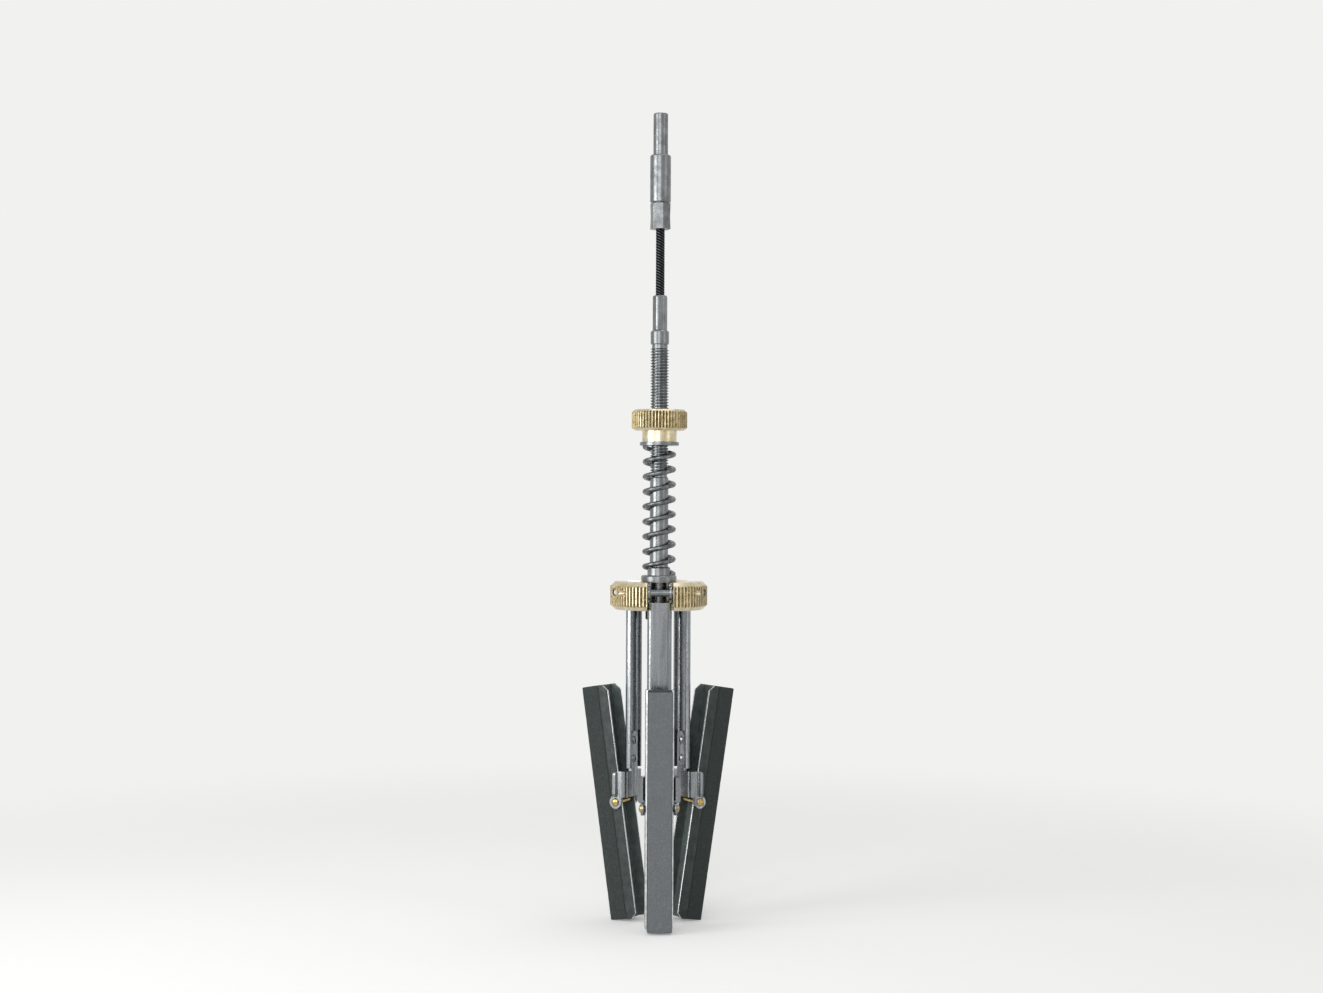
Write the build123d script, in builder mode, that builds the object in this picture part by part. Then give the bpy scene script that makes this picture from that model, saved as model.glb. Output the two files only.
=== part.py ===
from build123d import *
import math
import os

# Spring-loaded cylinder hone with three legs, driven by a round shank. Millimetres.
# +Z runs along the hone's axis towards the shank's free end.
# The origin is on the axis, at the middle of the shank's free length.
# The front leg points to -Y. A leg's plane holds the axis: its local x is outwards, its local y is +Z.

# Legs: direction about the axis, and how far the shoe's top leans outwards at rest
LEGS = {"front": (-90, 1.0), "right": (30, 9.5), "left": (150, 8.5)}

# Drive end
SHANK_DIA = 6.35
SHANK_FREE = 18.0
SHANK_SEAT = 11.0
SHANK_SPIGOT_DIA = 5.4
SHANK_CHAMFER = 0.6
FERRULE_DIA = 9.0
FERRULE_LENGTH = 32.2
FERRULE_CHAMFER = 0.6
CRIMP_FLATS = 8.0
CRIMP_LENGTH = 11.2
CRIMP_SHOULDER = 0.7
CRIMP_TURN = 25
CABLE_DIA = 3.9
CABLE_FREE = 28.6
CABLE_GRIP = 13.0
CABLE_CLEARANCE = 0.05

# Spindle: crimped sleeve, threaded length, plain length and a stub through the spider's floor
SLEEVE_DIA = 6.3
SLEEVE_FLATS = 5.9
SLEEVE_LENGTH = 15.0
SLEEVE_BAND = 2.2
SLEEVE_EDGE = 0.55
SPINDLE_DIA = 8.0
SPINDLE_CHAMFER = 0.8
SPINDLE_LENGTH = 133.2
THREAD_START = 8.0
THREAD_LENGTH = 54.0
RELIEF_DEPTH = 0.6
RELIEF_WIDTH = 1.8
STUB_DIA = 6.0
STUB_PROUD = 1.2
NUT_FLATS = 10.0
NUT_THICK = 3.6
WASHER_DIA = 11.0
WASHER_THICK = 1.0

# Spider: the knurled disk that carries the legs
SPIDER_DIA = 42.0
SPIDER_THICK = 12.0
SPIDER_FLOOR = 2.5
SPIDER_CHAMFER = 2.0
SPIDER_TEETH = 80
KNURL_DEPTH = 0.6
WELL_DIA = 17.2
FLOOR_DIA = 18.6
SLOT_CLEARANCE = 0.4

# Arms: stamped channels, open towards the axis, with a bell-crank tail on each flange
PIVOT_RADIUS = 13.0
PIVOT_DEPTH = 4.5
PIVOT_DIA = 3.0
PIVOT_PIN_LENGTH = 29.0
PIVOT_BOSS = 3.1
ARM_WIDTH = 10.4
ARM_DEPTH = 3.2
ARM_SHEET = 1.15
ARM_BEND = 1.6
ARM_OFFSET = 1.15
ARM_LENGTH = 76.8
WEB_DROP = 4.2
TAIL_LENGTH = 6.9
TAIL_LIFT = 22.0
TAIL_TIP = 1.5
NECK_ABOVE = 0.6
NECK_BELOW = 1.2

# Thrust parts on the spindle
COLLAR_DIA = 15.4
COLLAR_THICK = 3.0
COLLAR_HUB_DIA = 10.0
COLLAR_HUB = 3.6
COLLAR_CHAMFER = 0.5
SPRING_LENGTH = 56.0
SPRING_MEAN_DIA = 12.6
SPRING_WIRE = 2.0
SPRING_COILS = 8.5
SPRING_GROUND = 0.5
THRUST_WASHER_DIA = 17.0
THRUST_WASHER_THICK = 1.5
TENSION_DIA = 24.0
TENSION_THICK = 9.0
TENSION_HUB_DIA = 15.0
TENSION_HUB = 5.0
TENSION_CHAMFER = 1.2
TENSION_TEETH = 52

# Yokes: bent forks, open outwards, with a tongue riveted inside the arm
YOKE_SHEET = 1.5
YOKE_INSIDE = 12.5
YOKE_DEPTH = 6.1
YOKE_LENGTH = 11.2
YOKE_BEND = 1.75
YOKE_LIP = 1.3
LIP_BEND = 1.0
LIP_CORNER = 1.4
YOKE_GAP = 1.2
TONGUE_WIDTH = 5.6
TONGUE_LENGTH = 17.0
TONGUE_CORNER = 1.8
RIVET_DIA = 2.4
RIVET_HEAD_DIA = 4.0
RIVET_HEAD = 0.9
RIVET_TAPER = 30
RIVET_SPACING = 8.0
RIVET_EDGE = 4.0
LUG_RADIUS = 2.9
LUG_DROP = 2.2

# Shoes and stones
SHOE_PIN_RADIUS = 16.8
SHOE_PIN_DIA = 2.4
SHOE_PIN_HEAD_DIA = 3.6
SHOE_PIN_HEAD = 0.9
SHOE_SHEET = 0.8
SHOE_BEND = 0.9
SHOE_DEPTH = 5.4
SHOE_BACK = 3.1
SHOE_CORNER = 2.6
SHOE_SIDE_CLEARANCE = 0.15
STONE_LENGTH = 101.6
STONE_WIDTH = 10.5
STONE_THICK = 8.0
STONE_EDGE = 0.4

# Fits
RUNNING = 0.05
SEATED = 0.03

# Levels along the axis
shank_top = SHANK_FREE / 2
ferrule_top = shank_top - SHANK_FREE
ferrule_bottom = ferrule_top - FERRULE_LENGTH
crimp_top = ferrule_bottom + CRIMP_LENGTH
sleeve_top = ferrule_bottom - CABLE_FREE
sleeve_bottom = sleeve_top - SLEEVE_LENGTH
floor_top = sleeve_top - SPINDLE_LENGTH
spider_bottom = floor_top - SPIDER_FLOOR
spider_top = spider_bottom + SPIDER_THICK
pivot_level = spider_top - PIVOT_DEPTH
arm_bottom = pivot_level - ARM_LENGTH
yoke_top = arm_bottom - YOKE_GAP
yoke_bottom = yoke_top - YOKE_LENGTH
shoe_pin_level = yoke_bottom - LUG_DROP
tail_rise = TAIL_LENGTH * math.sin(math.radians(TAIL_LIFT)) + TAIL_TIP
collar_bottom = pivot_level + tail_rise + 2 * SEATED
collar_top = collar_bottom + COLLAR_THICK
spring_bottom = collar_top + SEATED
spring_top = spring_bottom + SPRING_LENGTH
washer_bottom = spring_top + SEATED
washer_top = washer_bottom + THRUST_WASHER_THICK
tension_bottom = washer_top + SEATED
thread_top = sleeve_bottom - THREAD_START
thread_bottom = thread_top - THREAD_LENGTH

# Radii and widths that follow from the pieces around them
arm_face = PIVOT_RADIUS + ARM_OFFSET
arm_inside = arm_face - ARM_SHEET
arm_inner_edge = arm_face - ARM_DEPTH
slot_width = ARM_WIDTH + 2 * SLOT_CLEARANCE
yoke_outer = YOKE_INSIDE / 2 + YOKE_SHEET
yoke_back = arm_inside - YOKE_SHEET
yoke_edge = yoke_back + YOKE_DEPTH
shoe_width = YOKE_INSIDE - 2 * SHOE_SIDE_CLEARANCE
rivet_places = [(0, arm_bottom + RIVET_EDGE + n * RIVET_SPACING) for n in range(2)]


def side_plane(angle):
    """Plane of a leg through the axis: local x outwards, local y along +Z."""
    turn = math.radians(angle)
    outwards = (math.cos(turn), math.sin(turn), 0)
    across = (math.sin(turn), -math.cos(turn), 0)
    return Plane(origin=(0, 0, 0), x_dir=outwards, z_dir=across)


def plan_plane(angle, level):
    """Plane square to the axis at a level, with local x outwards along a leg."""
    turn = math.radians(angle)
    outwards = (math.cos(turn), math.sin(turn), 0)
    return Plane(origin=(0, 0, level), x_dir=outwards, z_dir=(0, 0, 1))


def face_plane(angle, radius):
    """Upright plane facing outwards along a leg, at a distance from the axis: local y along +Z."""
    turn = math.radians(angle)
    outwards = Vector(math.cos(turn), math.sin(turn), 0)
    along = (-math.sin(turn), math.cos(turn), 0)
    return Plane(origin=outwards * radius, x_dir=along, z_dir=outwards)


def shoe_planes(angle, lean):
    """Side plane and lower end plane of a shoe that leans outwards about its pin."""
    turn = math.radians(angle)
    tip = math.radians(lean)
    out = Vector(math.cos(turn), math.sin(turn), 0)
    up = Vector(0, 0, 1)
    across = Vector(math.sin(turn), -math.cos(turn), 0)
    pin = out * SHOE_PIN_RADIUS + up * shoe_pin_level
    shoe_out = out * math.cos(tip) - up * math.sin(tip)
    shoe_up = out * math.sin(tip) + up * math.cos(tip)
    side = Plane(origin=pin, x_dir=shoe_out, z_dir=across)
    end = Plane(origin=pin - shoe_up * STONE_LENGTH / 2, x_dir=shoe_out, z_dir=shoe_up)
    return side, end


def bent_sheet(centre_line, bends, sheet):
    """Draws the section of a bent sheet along its centre line, in the open sketch."""
    with BuildLine() as bent:
        FilletPolyline(*centre_line, radius=bends)
    trace(bent.line, line_width=sheet)


def knurled_outline(diameter, teeth):
    """Draws a disk whose rim has straight V grooves, in the open sketch."""
    groove = KNURL_DEPTH * math.sqrt(2)
    Circle(diameter / 2)
    with PolarLocations(diameter / 2, teeth):
        Rectangle(groove, groove, rotation=45, mode=Mode.SUBTRACT)


def rim_chamfers(diameter, bottom, top, size):
    """Turns a chamfer on both rims of a disk in the open part."""
    rim = diameter / 2
    clear = rim + size
    with BuildSketch(Plane.XZ) as corners:
        for level, inwards in ((bottom, 1), (top, -1)):
            with BuildLine():
                Polyline(
                    (rim - size, level - inwards * size),
                    (rim - size, level),
                    (rim, level + inwards * size),
                    (clear, level + inwards * size),
                    (clear, level - inwards * size),
                    close=True,
                )
            make_face()
    revolve(corners.sketch, axis=Axis.Z, mode=Mode.SUBTRACT)


def write(piece, name):
    """Labels a finished piece and writes it to its own file."""
    piece.part.label = name
    export_step(piece.part, f"parts/{name}.step")


os.makedirs("parts", exist_ok=True)

# Drive shank: plain round rod for a drill chuck, with a spigot pressed into the ferrule
with BuildPart() as drive_shank:
    with BuildSketch(Plane.XY.offset(ferrule_top)):
        Circle(SHANK_DIA / 2)
    extrude(amount=SHANK_FREE)
    with BuildSketch(Plane.XY.offset(ferrule_top)):
        Circle(SHANK_SPIGOT_DIA / 2)
    extrude(amount=-SHANK_SEAT)
    chamfer(drive_shank.edges().filter_by(GeomType.CIRCLE).sort_by(Axis.Z)[-1], SHANK_CHAMFER)
    chamfer(drive_shank.edges().filter_by(GeomType.CIRCLE).sort_by(Axis.Z)[0], SHANK_CHAMFER)
write(drive_shank, "drive_shank")

# Drive ferrule: sleeve pressed on the shank, its lower end crimped to a hexagon on the cable
with BuildPart() as drive_ferrule:
    with BuildSketch(Plane.XY.offset(crimp_top)):
        Circle(FERRULE_DIA / 2)
    extrude(amount=FERRULE_LENGTH - CRIMP_LENGTH)
    chamfer(drive_ferrule.edges().group_by(Axis.Z)[-1], FERRULE_CHAMFER)
    chamfer(drive_ferrule.edges().group_by(Axis.Z)[0], CRIMP_SHOULDER)
    with BuildSketch(Plane.XY.offset(ferrule_bottom)):
        RegularPolygon(CRIMP_FLATS / 2, 6, major_radius=False, rotation=-90 + CRIMP_TURN)
        Circle(FERRULE_DIA / 2, mode=Mode.INTERSECT)
    extrude(amount=CRIMP_LENGTH)
    with BuildSketch(Plane.XY.offset(ferrule_top)):
        Circle(SHANK_SPIGOT_DIA / 2)
    extrude(amount=-SHANK_SEAT, mode=Mode.SUBTRACT)
    with BuildSketch(Plane.XY.offset(ferrule_bottom)):
        Circle(CABLE_DIA / 2 + CABLE_CLEARANCE)
    extrude(amount=FERRULE_LENGTH - SHANK_SEAT, mode=Mode.SUBTRACT)
write(drive_ferrule, "drive_ferrule")

# Flexible shaft: the stranded cable, gripped at both ends
with BuildPart() as flexible_shaft:
    with BuildSketch(Plane.XY.offset(sleeve_top - CABLE_GRIP)):
        Circle(CABLE_DIA / 2)
    extrude(amount=CABLE_FREE + 2 * CABLE_GRIP)
write(flexible_shaft, "flexible_shaft")

# Spindle: crimped sleeve, thread for the tension nut between two reliefs, plain length and stub
with BuildPart() as spindle:
    stub_end = spider_bottom - WASHER_THICK - NUT_THICK - STUB_PROUD
    with BuildSketch(Plane.XZ):
        with BuildLine():
            Polyline(
                (0, stub_end),
                (STUB_DIA / 2 - SPINDLE_CHAMFER, stub_end),
                (STUB_DIA / 2, stub_end + SPINDLE_CHAMFER),
                (STUB_DIA / 2, floor_top),
                (SPINDLE_DIA / 2, floor_top),
                (SPINDLE_DIA / 2, sleeve_bottom - SPINDLE_CHAMFER),
                (SPINDLE_DIA / 2 - SPINDLE_CHAMFER, sleeve_bottom),
                (SLEEVE_DIA / 2, sleeve_bottom),
                (SLEEVE_DIA / 2, sleeve_top - SLEEVE_EDGE),
                (SLEEVE_DIA / 2 - SLEEVE_EDGE, sleeve_top),
                (0, sleeve_top),
                close=True,
            )
        make_face()
    revolve(axis=Axis.Z)
    with BuildSketch(Plane.XY.offset(sleeve_bottom + SLEEVE_BAND)):
        Circle(SLEEVE_DIA)
        RegularPolygon(
            SLEEVE_FLATS / 2, 6, major_radius=False, rotation=CRIMP_TURN, mode=Mode.SUBTRACT
        )
    extrude(amount=SLEEVE_LENGTH - 2 * SLEEVE_BAND, mode=Mode.SUBTRACT)
    for level in (thread_top, thread_bottom - RELIEF_WIDTH):
        with BuildSketch(Plane.XY.offset(level)):
            Circle(SPINDLE_DIA)
            Circle(SPINDLE_DIA / 2 - RELIEF_DEPTH, mode=Mode.SUBTRACT)
        extrude(amount=RELIEF_WIDTH, mode=Mode.SUBTRACT)
    with BuildSketch(Plane.XY.offset(sleeve_top)):
        Circle(CABLE_DIA / 2 + CABLE_CLEARANCE)
    extrude(amount=-CABLE_GRIP - CABLE_CLEARANCE, mode=Mode.SUBTRACT)
write(spindle, "spindle")

# Spider: knurled disk with a central well, three leg slots and three cross holes for the pins
with BuildPart() as spider:
    with BuildSketch(Plane.XY.offset(spider_bottom)):
        knurled_outline(SPIDER_DIA, SPIDER_TEETH)
    extrude(amount=SPIDER_THICK)
    rim_chamfers(SPIDER_DIA, spider_bottom, spider_top, SPIDER_CHAMFER)
    with BuildSketch(Plane.XY.offset(floor_top)):
        Circle(WELL_DIA / 2)
        for angle, lean in LEGS.values():
            with Locations(Rotation(0, 0, angle)):
                Rectangle(SPIDER_DIA, slot_width, align=(Align.MIN, Align.CENTER))
    extrude(amount=SPIDER_THICK, mode=Mode.SUBTRACT)
    with BuildSketch(Plane.XY.offset(spider_bottom)):
        for angle, lean in LEGS.values():
            with Locations(Rotation(0, 0, angle)):
                with Locations((FLOOR_DIA / 2, 0)):
                    Rectangle(SPIDER_DIA, slot_width, align=(Align.MIN, Align.CENTER))
    extrude(amount=SPIDER_THICK, mode=Mode.SUBTRACT)
    with BuildSketch(Plane.XY.offset(spider_bottom)):
        Circle(STUB_DIA / 2 + RUNNING)
    extrude(amount=SPIDER_THICK, mode=Mode.SUBTRACT)
    for angle, lean in LEGS.values():
        with BuildSketch(side_plane(angle)):
            with Locations((PIVOT_RADIUS, pivot_level)):
                Circle(PIVOT_DIA / 2)
        extrude(amount=SPIDER_DIA, both=True, mode=Mode.SUBTRACT)
write(spider, "spider")

# Washer and thin nut that hold the spider on the spindle's stub
with BuildPart() as spindle_washer:
    with BuildSketch(Plane.XY.offset(spider_bottom)):
        Circle(WASHER_DIA / 2)
        Circle(STUB_DIA / 2 + RUNNING, mode=Mode.SUBTRACT)
    extrude(amount=-WASHER_THICK)
write(spindle_washer, "spindle_washer")

with BuildPart() as spindle_nut:
    nut_corner = NUT_FLATS / math.sqrt(3)
    nut_bottom = spider_bottom - WASHER_THICK - NUT_THICK
    cone_end = nut_corner + SPINDLE_CHAMFER
    with BuildSketch(Plane.XY.offset(spider_bottom - WASHER_THICK)):
        RegularPolygon(nut_corner, 6)
        Circle(STUB_DIA / 2 + RUNNING, mode=Mode.SUBTRACT)
    extrude(amount=-NUT_THICK)
    with BuildSketch(Plane.XZ):
        with BuildLine():
            Polyline(
                (NUT_FLATS / 2, nut_bottom),
                (cone_end, nut_bottom + (cone_end - NUT_FLATS / 2) / 2),
                (cone_end, nut_bottom),
                close=True,
            )
        make_face()
    revolve(axis=Axis.Z, mode=Mode.SUBTRACT)
write(spindle_nut, "spindle_nut")

# Tension nut: knurled thumb nut with a plain hub towards the spring
with BuildPart() as tension_nut:
    with BuildSketch(Plane.XY.offset(tension_bottom)):
        Circle(TENSION_HUB_DIA / 2)
    extrude(amount=TENSION_HUB)
    with BuildSketch(Plane.XY.offset(tension_bottom + TENSION_HUB)):
        knurled_outline(TENSION_DIA, TENSION_TEETH)
    extrude(amount=TENSION_THICK)
    rim_chamfers(
        TENSION_DIA,
        tension_bottom + TENSION_HUB,
        tension_bottom + TENSION_HUB + TENSION_THICK,
        TENSION_CHAMFER,
    )
    with BuildSketch(Plane.XY.offset(tension_bottom)):
        Circle(SPINDLE_DIA / 2 + RUNNING)
    extrude(amount=TENSION_HUB + TENSION_THICK, mode=Mode.SUBTRACT)
write(tension_nut, "tension_nut")

# Thrust washer between the tension nut and the spring
with BuildPart() as spring_washer:
    with BuildSketch(Plane.XY.offset(washer_bottom)):
        Circle(THRUST_WASHER_DIA / 2)
        Circle(SPINDLE_DIA / 2 + RUNNING, mode=Mode.SUBTRACT)
    extrude(amount=THRUST_WASHER_THICK)
write(spring_washer, "spring_washer")

# Compression spring, its ends ground square to the axis
with BuildPart() as compression_spring:
    coil_low = spring_bottom + SPRING_WIRE / 2 - SPRING_GROUND
    coil_height = SPRING_LENGTH - SPRING_WIRE + 2 * SPRING_GROUND
    with BuildLine() as coil:
        Helix(
            pitch=coil_height / SPRING_COILS,
            height=coil_height,
            radius=SPRING_MEAN_DIA / 2,
            center=(0, 0, coil_low),
        )
    with BuildSketch(Plane(origin=coil.line @ 0, z_dir=coil.line % 0)):
        RegularPolygon(SPRING_WIRE / 2, 8)
    sweep(path=coil.line, is_frenet=True)
    split(bisect_by=Plane.XY.offset(spring_bottom), keep=Keep.TOP)
    split(bisect_by=Plane.XY.offset(spring_top), keep=Keep.BOTTOM)
write(compression_spring, "compression_spring")

# Thrust collar: flange on the arms' tails, hub inside the spring
with BuildPart() as thrust_collar:
    with BuildSketch(Plane.XY.offset(collar_bottom)):
        Circle(COLLAR_DIA / 2)
    extrude(amount=COLLAR_THICK)
    chamfer(thrust_collar.edges().group_by(Axis.Z)[-1], COLLAR_CHAMFER)
    with BuildSketch(Plane.XY.offset(collar_top)):
        Circle(COLLAR_HUB_DIA / 2)
    extrude(amount=COLLAR_HUB)
    chamfer(thrust_collar.edges().group_by(Axis.Z)[-1], COLLAR_CHAMFER)
    with BuildSketch(Plane.XY.offset(collar_bottom)):
        Circle(SPINDLE_DIA / 2 + RUNNING)
    extrude(amount=COLLAR_THICK + COLLAR_HUB, mode=Mode.SUBTRACT)
write(thrust_collar, "thrust_collar")

for leg, (angle, lean) in LEGS.items():
    side = side_plane(angle)

    # Pivot pin, pressed into the spider's cross hole
    with BuildPart() as arm_pin:
        with BuildSketch(side):
            with Locations((PIVOT_RADIUS, pivot_level)):
                Circle(PIVOT_DIA / 2)
        extrude(amount=PIVOT_PIN_LENGTH / 2, both=True)
    write(arm_pin, f"arm_pin_{leg}")

    # Arm: bent channel below, two bell-crank ears above, with a tail each towards the axis
    with BuildPart() as arm:
        mid_face = arm_face - ARM_SHEET / 2
        mid_side = ARM_WIDTH / 2 - ARM_SHEET / 2
        web_top = pivot_level - WEB_DROP
        bend_line = arm_face - ARM_BEND - ARM_SHEET / 2
        with BuildSketch(side):
            with BuildLine():
                Polyline(
                    (arm_inner_edge, web_top),
                    (bend_line, web_top),
                    (PIVOT_RADIUS, pivot_level),
                    (arm_inner_edge, pivot_level),
                    close=True,
                )
            make_face()
            with Locations((PIVOT_RADIUS, pivot_level)):
                Circle(PIVOT_BOSS)
                with Locations(Rotation(0, 0, 180 - TAIL_LIFT)):
                    with Locations((0, (NECK_BELOW - NECK_ABOVE) / 2)):
                        Rectangle(
                            TAIL_LENGTH,
                            NECK_ABOVE + NECK_BELOW,
                            align=(Align.MIN, Align.CENTER),
                        )
                    with Locations((TAIL_LENGTH, 0)):
                        Circle(TAIL_TIP)
        extrude(amount=ARM_WIDTH / 2, both=True)
        with BuildSketch(side):
            with Locations((PIVOT_RADIUS, pivot_level)):
                Rectangle(6 * TAIL_LENGTH, 6 * TAIL_LENGTH)
        extrude(amount=ARM_WIDTH / 2 - ARM_SHEET, both=True, mode=Mode.SUBTRACT)
        with BuildSketch(plan_plane(angle, arm_bottom)):
            bent_sheet(
                (
                    (arm_inner_edge, -mid_side),
                    (mid_face, -mid_side),
                    (mid_face, mid_side),
                    (arm_inner_edge, mid_side),
                ),
                ARM_BEND,
                ARM_SHEET,
            )
        extrude(amount=web_top - arm_bottom)
        with BuildSketch(side):
            with Locations((PIVOT_RADIUS, pivot_level)):
                Circle(PIVOT_DIA / 2 + RUNNING)
        extrude(amount=ARM_WIDTH, both=True, mode=Mode.SUBTRACT)
        with BuildSketch(face_plane(angle, yoke_back)):
            with Locations(*rivet_places):
                Circle(RIVET_DIA / 2)
        extrude(amount=YOKE_SHEET + ARM_SHEET, mode=Mode.SUBTRACT)
    write(arm, f"arm_{leg}")

    # Yoke: bent fork with outward lips, round lugs for the shoe pin and a tongue inside the arm
    with BuildPart() as yoke:
        lip_middle = yoke_edge - YOKE_SHEET / 2
        back_middle = yoke_back + YOKE_SHEET / 2
        leg_middle = yoke_outer - YOKE_SHEET / 2
        lip_end = yoke_outer + YOKE_LIP
        with BuildSketch(plan_plane(angle, yoke_bottom)):
            bent_sheet(
                (
                    (lip_middle, -lip_end),
                    (lip_middle, -leg_middle),
                    (back_middle, -leg_middle),
                    (back_middle, leg_middle),
                    (lip_middle, leg_middle),
                    (lip_middle, lip_end),
                ),
                (LIP_BEND, YOKE_BEND, YOKE_BEND, LIP_BEND),
                YOKE_SHEET,
            )
        extrude(amount=YOKE_LENGTH)
        with BuildSketch(face_plane(angle, yoke_back)):
            with Locations((0, yoke_bottom + YOKE_LENGTH / 2)):
                RectangleRounded(2 * lip_end, YOKE_LENGTH, LIP_CORNER)
        extrude(amount=YOKE_DEPTH, mode=Mode.INTERSECT)
        for hand in (-1, 1):
            with BuildSketch(side.offset(hand * YOKE_INSIDE / 2)):
                with Locations((SHOE_PIN_RADIUS, shoe_pin_level)):
                    Circle(LUG_RADIUS)
                with Locations((yoke_edge, shoe_pin_level)):
                    Rectangle(
                        yoke_edge - SHOE_PIN_RADIUS + LUG_RADIUS,
                        LUG_DROP + LIP_CORNER,
                        align=(Align.MAX, Align.MIN),
                    )
            extrude(amount=hand * YOKE_SHEET)
        with BuildSketch(side):
            with Locations((SHOE_PIN_RADIUS, shoe_pin_level)):
                Circle(SHOE_PIN_DIA / 2 + RUNNING)
        extrude(amount=lip_end, both=True, mode=Mode.SUBTRACT)
        with BuildSketch(face_plane(angle, yoke_back)):
            with Locations((0, yoke_top - TONGUE_CORNER)):
                RectangleRounded(
                    TONGUE_WIDTH,
                    TONGUE_LENGTH + TONGUE_CORNER,
                    TONGUE_CORNER,
                    align=(Align.CENTER, Align.MIN),
                )
        extrude(amount=YOKE_SHEET)
        with BuildSketch(face_plane(angle, yoke_back)):
            with Locations(*rivet_places):
                Circle(RIVET_DIA / 2)
        extrude(amount=YOKE_SHEET, mode=Mode.SUBTRACT)
    write(yoke, f"yoke_{leg}")

    # Two rivets that join the yoke's tongue to the arm's back
    with BuildPart() as yoke_rivets:
        with BuildSketch(face_plane(angle, yoke_back)):
            with Locations(*rivet_places):
                Circle(RIVET_DIA / 2)
        extrude(amount=YOKE_SHEET + ARM_SHEET)
        for radius, way in ((yoke_back, -1), (arm_face, 1)):
            with BuildSketch(face_plane(angle, radius)):
                with Locations(*rivet_places):
                    Circle(RIVET_HEAD_DIA / 2)
            extrude(amount=way * RIVET_HEAD, taper=RIVET_TAPER)
    write(yoke_rivets, f"yoke_rivets_{leg}")

    # Shoe pin: rivet through the yoke's lugs and the shoe's flanges
    with BuildPart() as shoe_pin:
        head_start = yoke_outer + RUNNING
        with BuildSketch(side):
            with Locations((SHOE_PIN_RADIUS, shoe_pin_level)):
                Circle(SHOE_PIN_DIA / 2)
        extrude(amount=head_start, both=True)
        for hand in (-1, 1):
            with BuildSketch(side.offset(hand * head_start)):
                with Locations((SHOE_PIN_RADIUS, shoe_pin_level)):
                    Circle(SHOE_PIN_HEAD_DIA / 2)
            extrude(amount=hand * SHOE_PIN_HEAD, taper=RIVET_TAPER)
    write(shoe_pin, f"shoe_pin_{leg}")

    # Shoe: bent channel, open towards the axis, that rocks on the shoe pin
    shoe_side, shoe_end = shoe_planes(angle, lean)
    with BuildPart() as shoe:
        flange_edge = SHOE_BACK - SHOE_DEPTH
        back_line = SHOE_BACK - SHOE_SHEET / 2
        flange_line = shoe_width / 2 - SHOE_SHEET / 2
        with BuildSketch(shoe_end):
            bent_sheet(
                (
                    (flange_edge, -flange_line),
                    (back_line, -flange_line),
                    (back_line, flange_line),
                    (flange_edge, flange_line),
                ),
                SHOE_BEND,
                SHOE_SHEET,
            )
        extrude(amount=STONE_LENGTH)
        with BuildSketch(shoe_side):
            Circle(SHOE_PIN_DIA / 2 + RUNNING)
            with Locations((flange_edge, -STONE_LENGTH / 2), (flange_edge, STONE_LENGTH / 2)):
                Rectangle(SHOE_CORNER * math.sqrt(2), SHOE_CORNER * math.sqrt(2), rotation=45)
        extrude(amount=shoe_width, both=True, mode=Mode.SUBTRACT)
    write(shoe, f"shoe_{leg}")

    # Stone: abrasive stick bonded to the shoe's back
    with BuildPart() as stone:
        with BuildSketch(shoe_end):
            with Locations((SHOE_BACK, 0)):
                Rectangle(STONE_THICK, STONE_WIDTH, align=(Align.MIN, Align.CENTER))
        extrude(amount=STONE_LENGTH)
        chamfer(stone.edges(), STONE_EDGE)
    write(stone, f"stone_{leg}")
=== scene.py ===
"""Looks of a spring-loaded cylinder hone with three legs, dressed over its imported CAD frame.

The frame's +Z runs along the hone's axis towards the shank's free end, and the front leg points
to -Y. Sizes in this file are millimetres unless a docstring says otherwise, and MM turns them to
the frame's metres.
"""

import logging
import math
from contextlib import contextmanager
from dataclasses import dataclass
from enum import Enum
from typing import Callable, Iterable, Iterator, Mapping, Sequence

import bmesh
import bpy
from mathutils import Euler, Matrix, Vector, noise


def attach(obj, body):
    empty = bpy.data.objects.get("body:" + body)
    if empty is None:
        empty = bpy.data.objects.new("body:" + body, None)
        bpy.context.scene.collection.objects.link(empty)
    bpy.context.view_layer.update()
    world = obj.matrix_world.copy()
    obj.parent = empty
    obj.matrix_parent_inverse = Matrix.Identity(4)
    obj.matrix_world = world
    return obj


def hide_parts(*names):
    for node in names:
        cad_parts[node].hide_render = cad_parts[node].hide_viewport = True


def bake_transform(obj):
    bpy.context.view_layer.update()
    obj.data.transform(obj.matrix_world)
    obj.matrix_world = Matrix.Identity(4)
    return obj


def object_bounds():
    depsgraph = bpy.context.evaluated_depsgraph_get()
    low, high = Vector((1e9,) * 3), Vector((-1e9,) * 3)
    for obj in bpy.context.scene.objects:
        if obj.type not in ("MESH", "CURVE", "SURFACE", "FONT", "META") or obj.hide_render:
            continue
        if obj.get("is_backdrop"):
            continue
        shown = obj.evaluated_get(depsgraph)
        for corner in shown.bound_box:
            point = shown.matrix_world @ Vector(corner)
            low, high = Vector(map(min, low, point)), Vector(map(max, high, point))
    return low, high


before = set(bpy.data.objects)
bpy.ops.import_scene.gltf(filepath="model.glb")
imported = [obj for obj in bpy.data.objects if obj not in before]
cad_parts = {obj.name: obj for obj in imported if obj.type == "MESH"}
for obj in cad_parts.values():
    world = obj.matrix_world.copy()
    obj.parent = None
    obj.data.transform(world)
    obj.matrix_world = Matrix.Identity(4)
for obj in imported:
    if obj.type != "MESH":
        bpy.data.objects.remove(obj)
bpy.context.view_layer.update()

MM = 0.001
# Points nearer than this to each other or to a cutting plane, in metres, count as in one place.
ON_PLANE = 1e-6
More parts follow.
